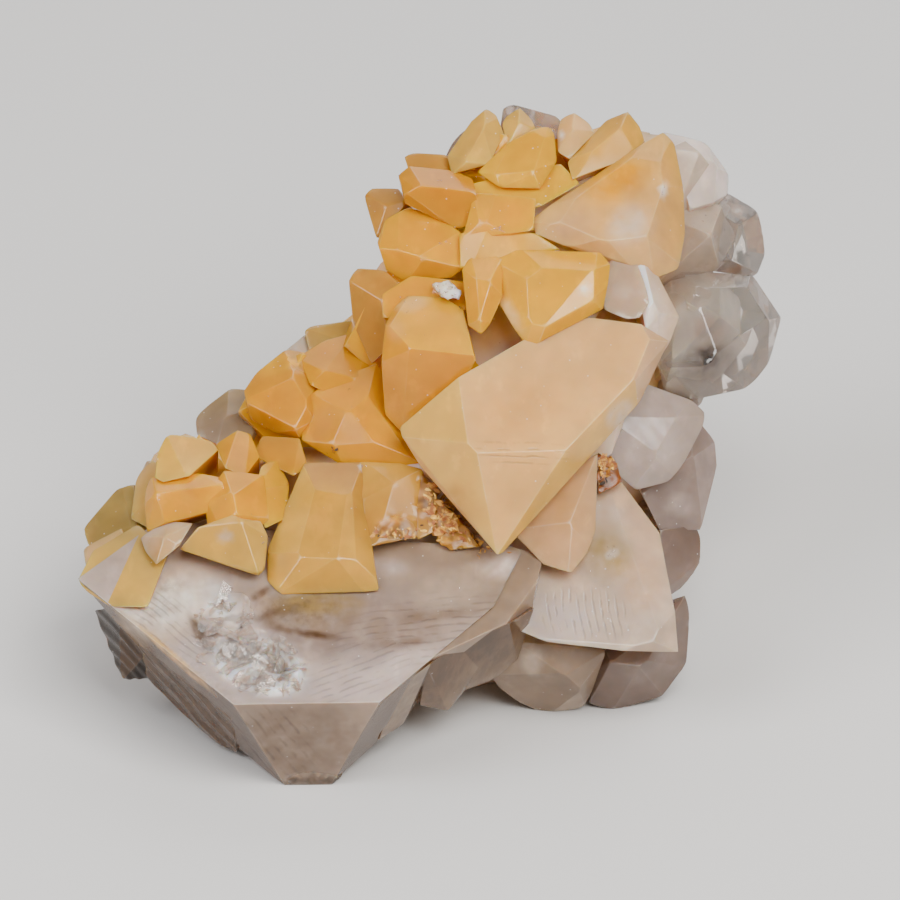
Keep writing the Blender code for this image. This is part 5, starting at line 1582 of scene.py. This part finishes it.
def bits(name, trees):
    """One piece of small broken bits, each pressed a little into what it lies on."""
    slot, one, other, thick, heaps = BITS[name]
    pick = random.Random(name)
    corners, faces = [], []
    for middle, reach, count, size in heaps:
        for _ in range(count):
            turn, out = pick.uniform(0, 2 * math.pi), math.sqrt(pick.random())
            across = middle[0] + reach[0] * out * math.cos(turn)
            down = middle[1] + reach[1] * out * math.sin(turn)
            hits = [(*seen_spot(tree, across, down), facets) for tree, facets in trees]
            hits = [found for found in hits if found[0] is not None]
            if not hits:
                continue
            near = min(hits, key=lambda found: found[0].y * math.cos(LEAN) - found[0].z * math.sin(LEAN))
            place, normal, hit, facets = near
            if slot == "rust_stain" and NAMES[facets[hit] // FACETS_EACH] == SPARED:
                continue
            long = size * pick.choice((0.35, 0.5, 0.7, 1.0))
            tilt = pick.uniform(-0.8, 0.8) if size < 1.1 else pick.uniform(-0.34, 0.34)
            turned = normal.to_track_quat("Z", "Y").to_matrix()
            turned = turned @ Matrix.Rotation(pick.uniform(0, 6.28), 3, "Z") @ Matrix.Rotation(tilt, 3, "X")
            points = []
            for _ in range(7):
                around, away = pick.uniform(0, 6.28), long * pick.uniform(0.6, 1.0)
                up = pick.uniform(-1, 1) * long * thick
                corner = Vector((away * math.cos(around), away * 0.6 * math.sin(around), up))
                points.append((place + turned @ corner) * MM)
            shape = hull(points)
            shape.verts.index_update()
            faces.extend([vert.index + len(corners) for vert in face.verts] for face in shape.faces)
            corners.extend(vert.co[:] for vert in shape.verts)
            shape.free()
    mesh = bpy.data.meshes.new(name)
    mesh.from_pydata(corners, [], faces)
    piece = bpy.data.objects.new(name, mesh)
    rough, clear = (0.05, 0.88) if slot == "colourless_calcite" else (0.6, 0.0)
    mesh.materials.append(bit_look(name + "_look", one, other, rough, clear))
    bpy.context.scene.collection.objects.link(piece)
    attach(piece, "root")


def crystal_piece(name, growths, whole, material):
    """Joins, divides, wears, carves and colours some crystals; gives a tree of their skin."""
    places, triangles, facets = even_skin(grown_cluster(growths, whole))
    crystal_at = np.zeros(len(places), int)
    crystal_at[triangles.ravel()] = np.repeat(facets // FACETS_EACH, 3)
    places, wear_and_sheen, rim, valleys = worn_edges(places, triangles)
    places, chips = carved(places, triangles, crystal_at)
    tree = BVHTree.FromPolygons(places.tolist(), triangles.tolist())
    layers = tints(places, triangles, facets, wear_and_sheen, rim, chips, tree)
    piece = bpy.data.objects.new(name, skin_mesh(name, places, triangles, layers, valleys))
    piece.data.materials.append(material)
    bpy.context.scene.collection.objects.link(piece)
    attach(piece, "root")
    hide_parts("calcite_cluster")
    return tree, facets


def light(name, place, toward, size, power, warmth=(1.0, 1.0, 1.0)):
    """A square soft light that faces a point."""
    lamp = bpy.data.lights.new(name, "AREA")
    lamp.shape = "SQUARE"
    lamp.size = size
    lamp.energy = power
    lamp.color = warmth
    stand = bpy.data.objects.new(name, lamp)
    stand.location = place
    stand.rotation_euler = (Vector(toward) - Vector(place)).to_track_quat("-Z", "Y").to_euler()
    bpy.context.scene.collection.objects.link(stand)


def studio():
    """The pale floor, the soft lights, the pale surroundings and the camera."""
    floor_mesh = bpy.data.meshes.new("floor")
    reach = 2.5
    corners = [(-reach, -reach, 0), (reach, -reach, 0), (reach, reach, 0), (-reach, reach, 0)]
    floor_mesh.from_pydata(corners, [], [(0, 1, 2, 3)])
    floor = bpy.data.objects.new("floor", floor_mesh)
    floor.location.z = -0.02 * MM
    bpy.context.scene.collection.objects.link(floor)
    material, start = new_material("pale_floor")
    pale = (0.62, 0.61, 0.6, 1)
    shade = start.make("ShaderNodeBsdfPrincipled", inputs={"Base Color": pale, "Roughness": 0.7})
    start.make("ShaderNodeOutputMaterial", inputs={"Surface": shade})
    floor_mesh.materials.append(material)

    world = bpy.data.worlds.new("pale surroundings")
    world.use_nodes = True
    sky = world.node_tree.nodes["Background"]
    sky.inputs["Color"].default_value = (0.78, 0.77, 0.76, 1)
    sky.inputs["Strength"].default_value = 0.3
    bpy.context.scene.world = world

    middle = (0, 0, 0.025)
    light("front_right", (0.2, -0.345, 0.5), middle, 0.42, 6.9, (1.0, 0.98, 0.95))
    light("left_fill", (-0.4, -0.23, 0.41), middle, 0.35, 2.9, (0.98, 0.98, 1.0))
    light("behind", (0.1, 0.45, 0.35), middle, 0.6, 1.8)

    lens = bpy.data.cameras.new("camera")
    lens.sensor_width = SENSOR
    lens.lens = SENSOR * VIEW_AWAY / VIEW_WIDTH
    camera = bpy.data.objects.new("camera", lens)
    across, down, deep = VIEW_MIDDLE
    camera.location = on_sheet(across, down, deep - VIEW_AWAY)
    camera.rotation_euler = (math.pi / 2 - LEAN, 0, 0)
    bpy.context.scene.collection.objects.link(camera)
    bpy.context.scene.camera = camera


noise.seed_set(CHIP_SEED)
growths = list(grown_names())
NAMES = [name for name, _ in growths]
NUMBER = {name: number for number, name in enumerate(NAMES)}
milky_ones = [(NUMBER[name], shape) for name, shape in growths if name not in CLEAR_ONES]
clear_ones = [(NUMBER[name], shape) for name, shape in growths if name in CLEAR_ONES]
grown_calcite = calcite("grown_calcite", 0.14, 0.13, False)
clear_calcite = calcite("clear_calcite", 0.45, 0.02, True)
trees = [
    crystal_piece("calcite_crystals", milky_ones, True, grown_calcite),
    crystal_piece("clear_crystals", clear_ones, False, clear_calcite),
]
for name in BITS:
    bits(name, trees)
studio()
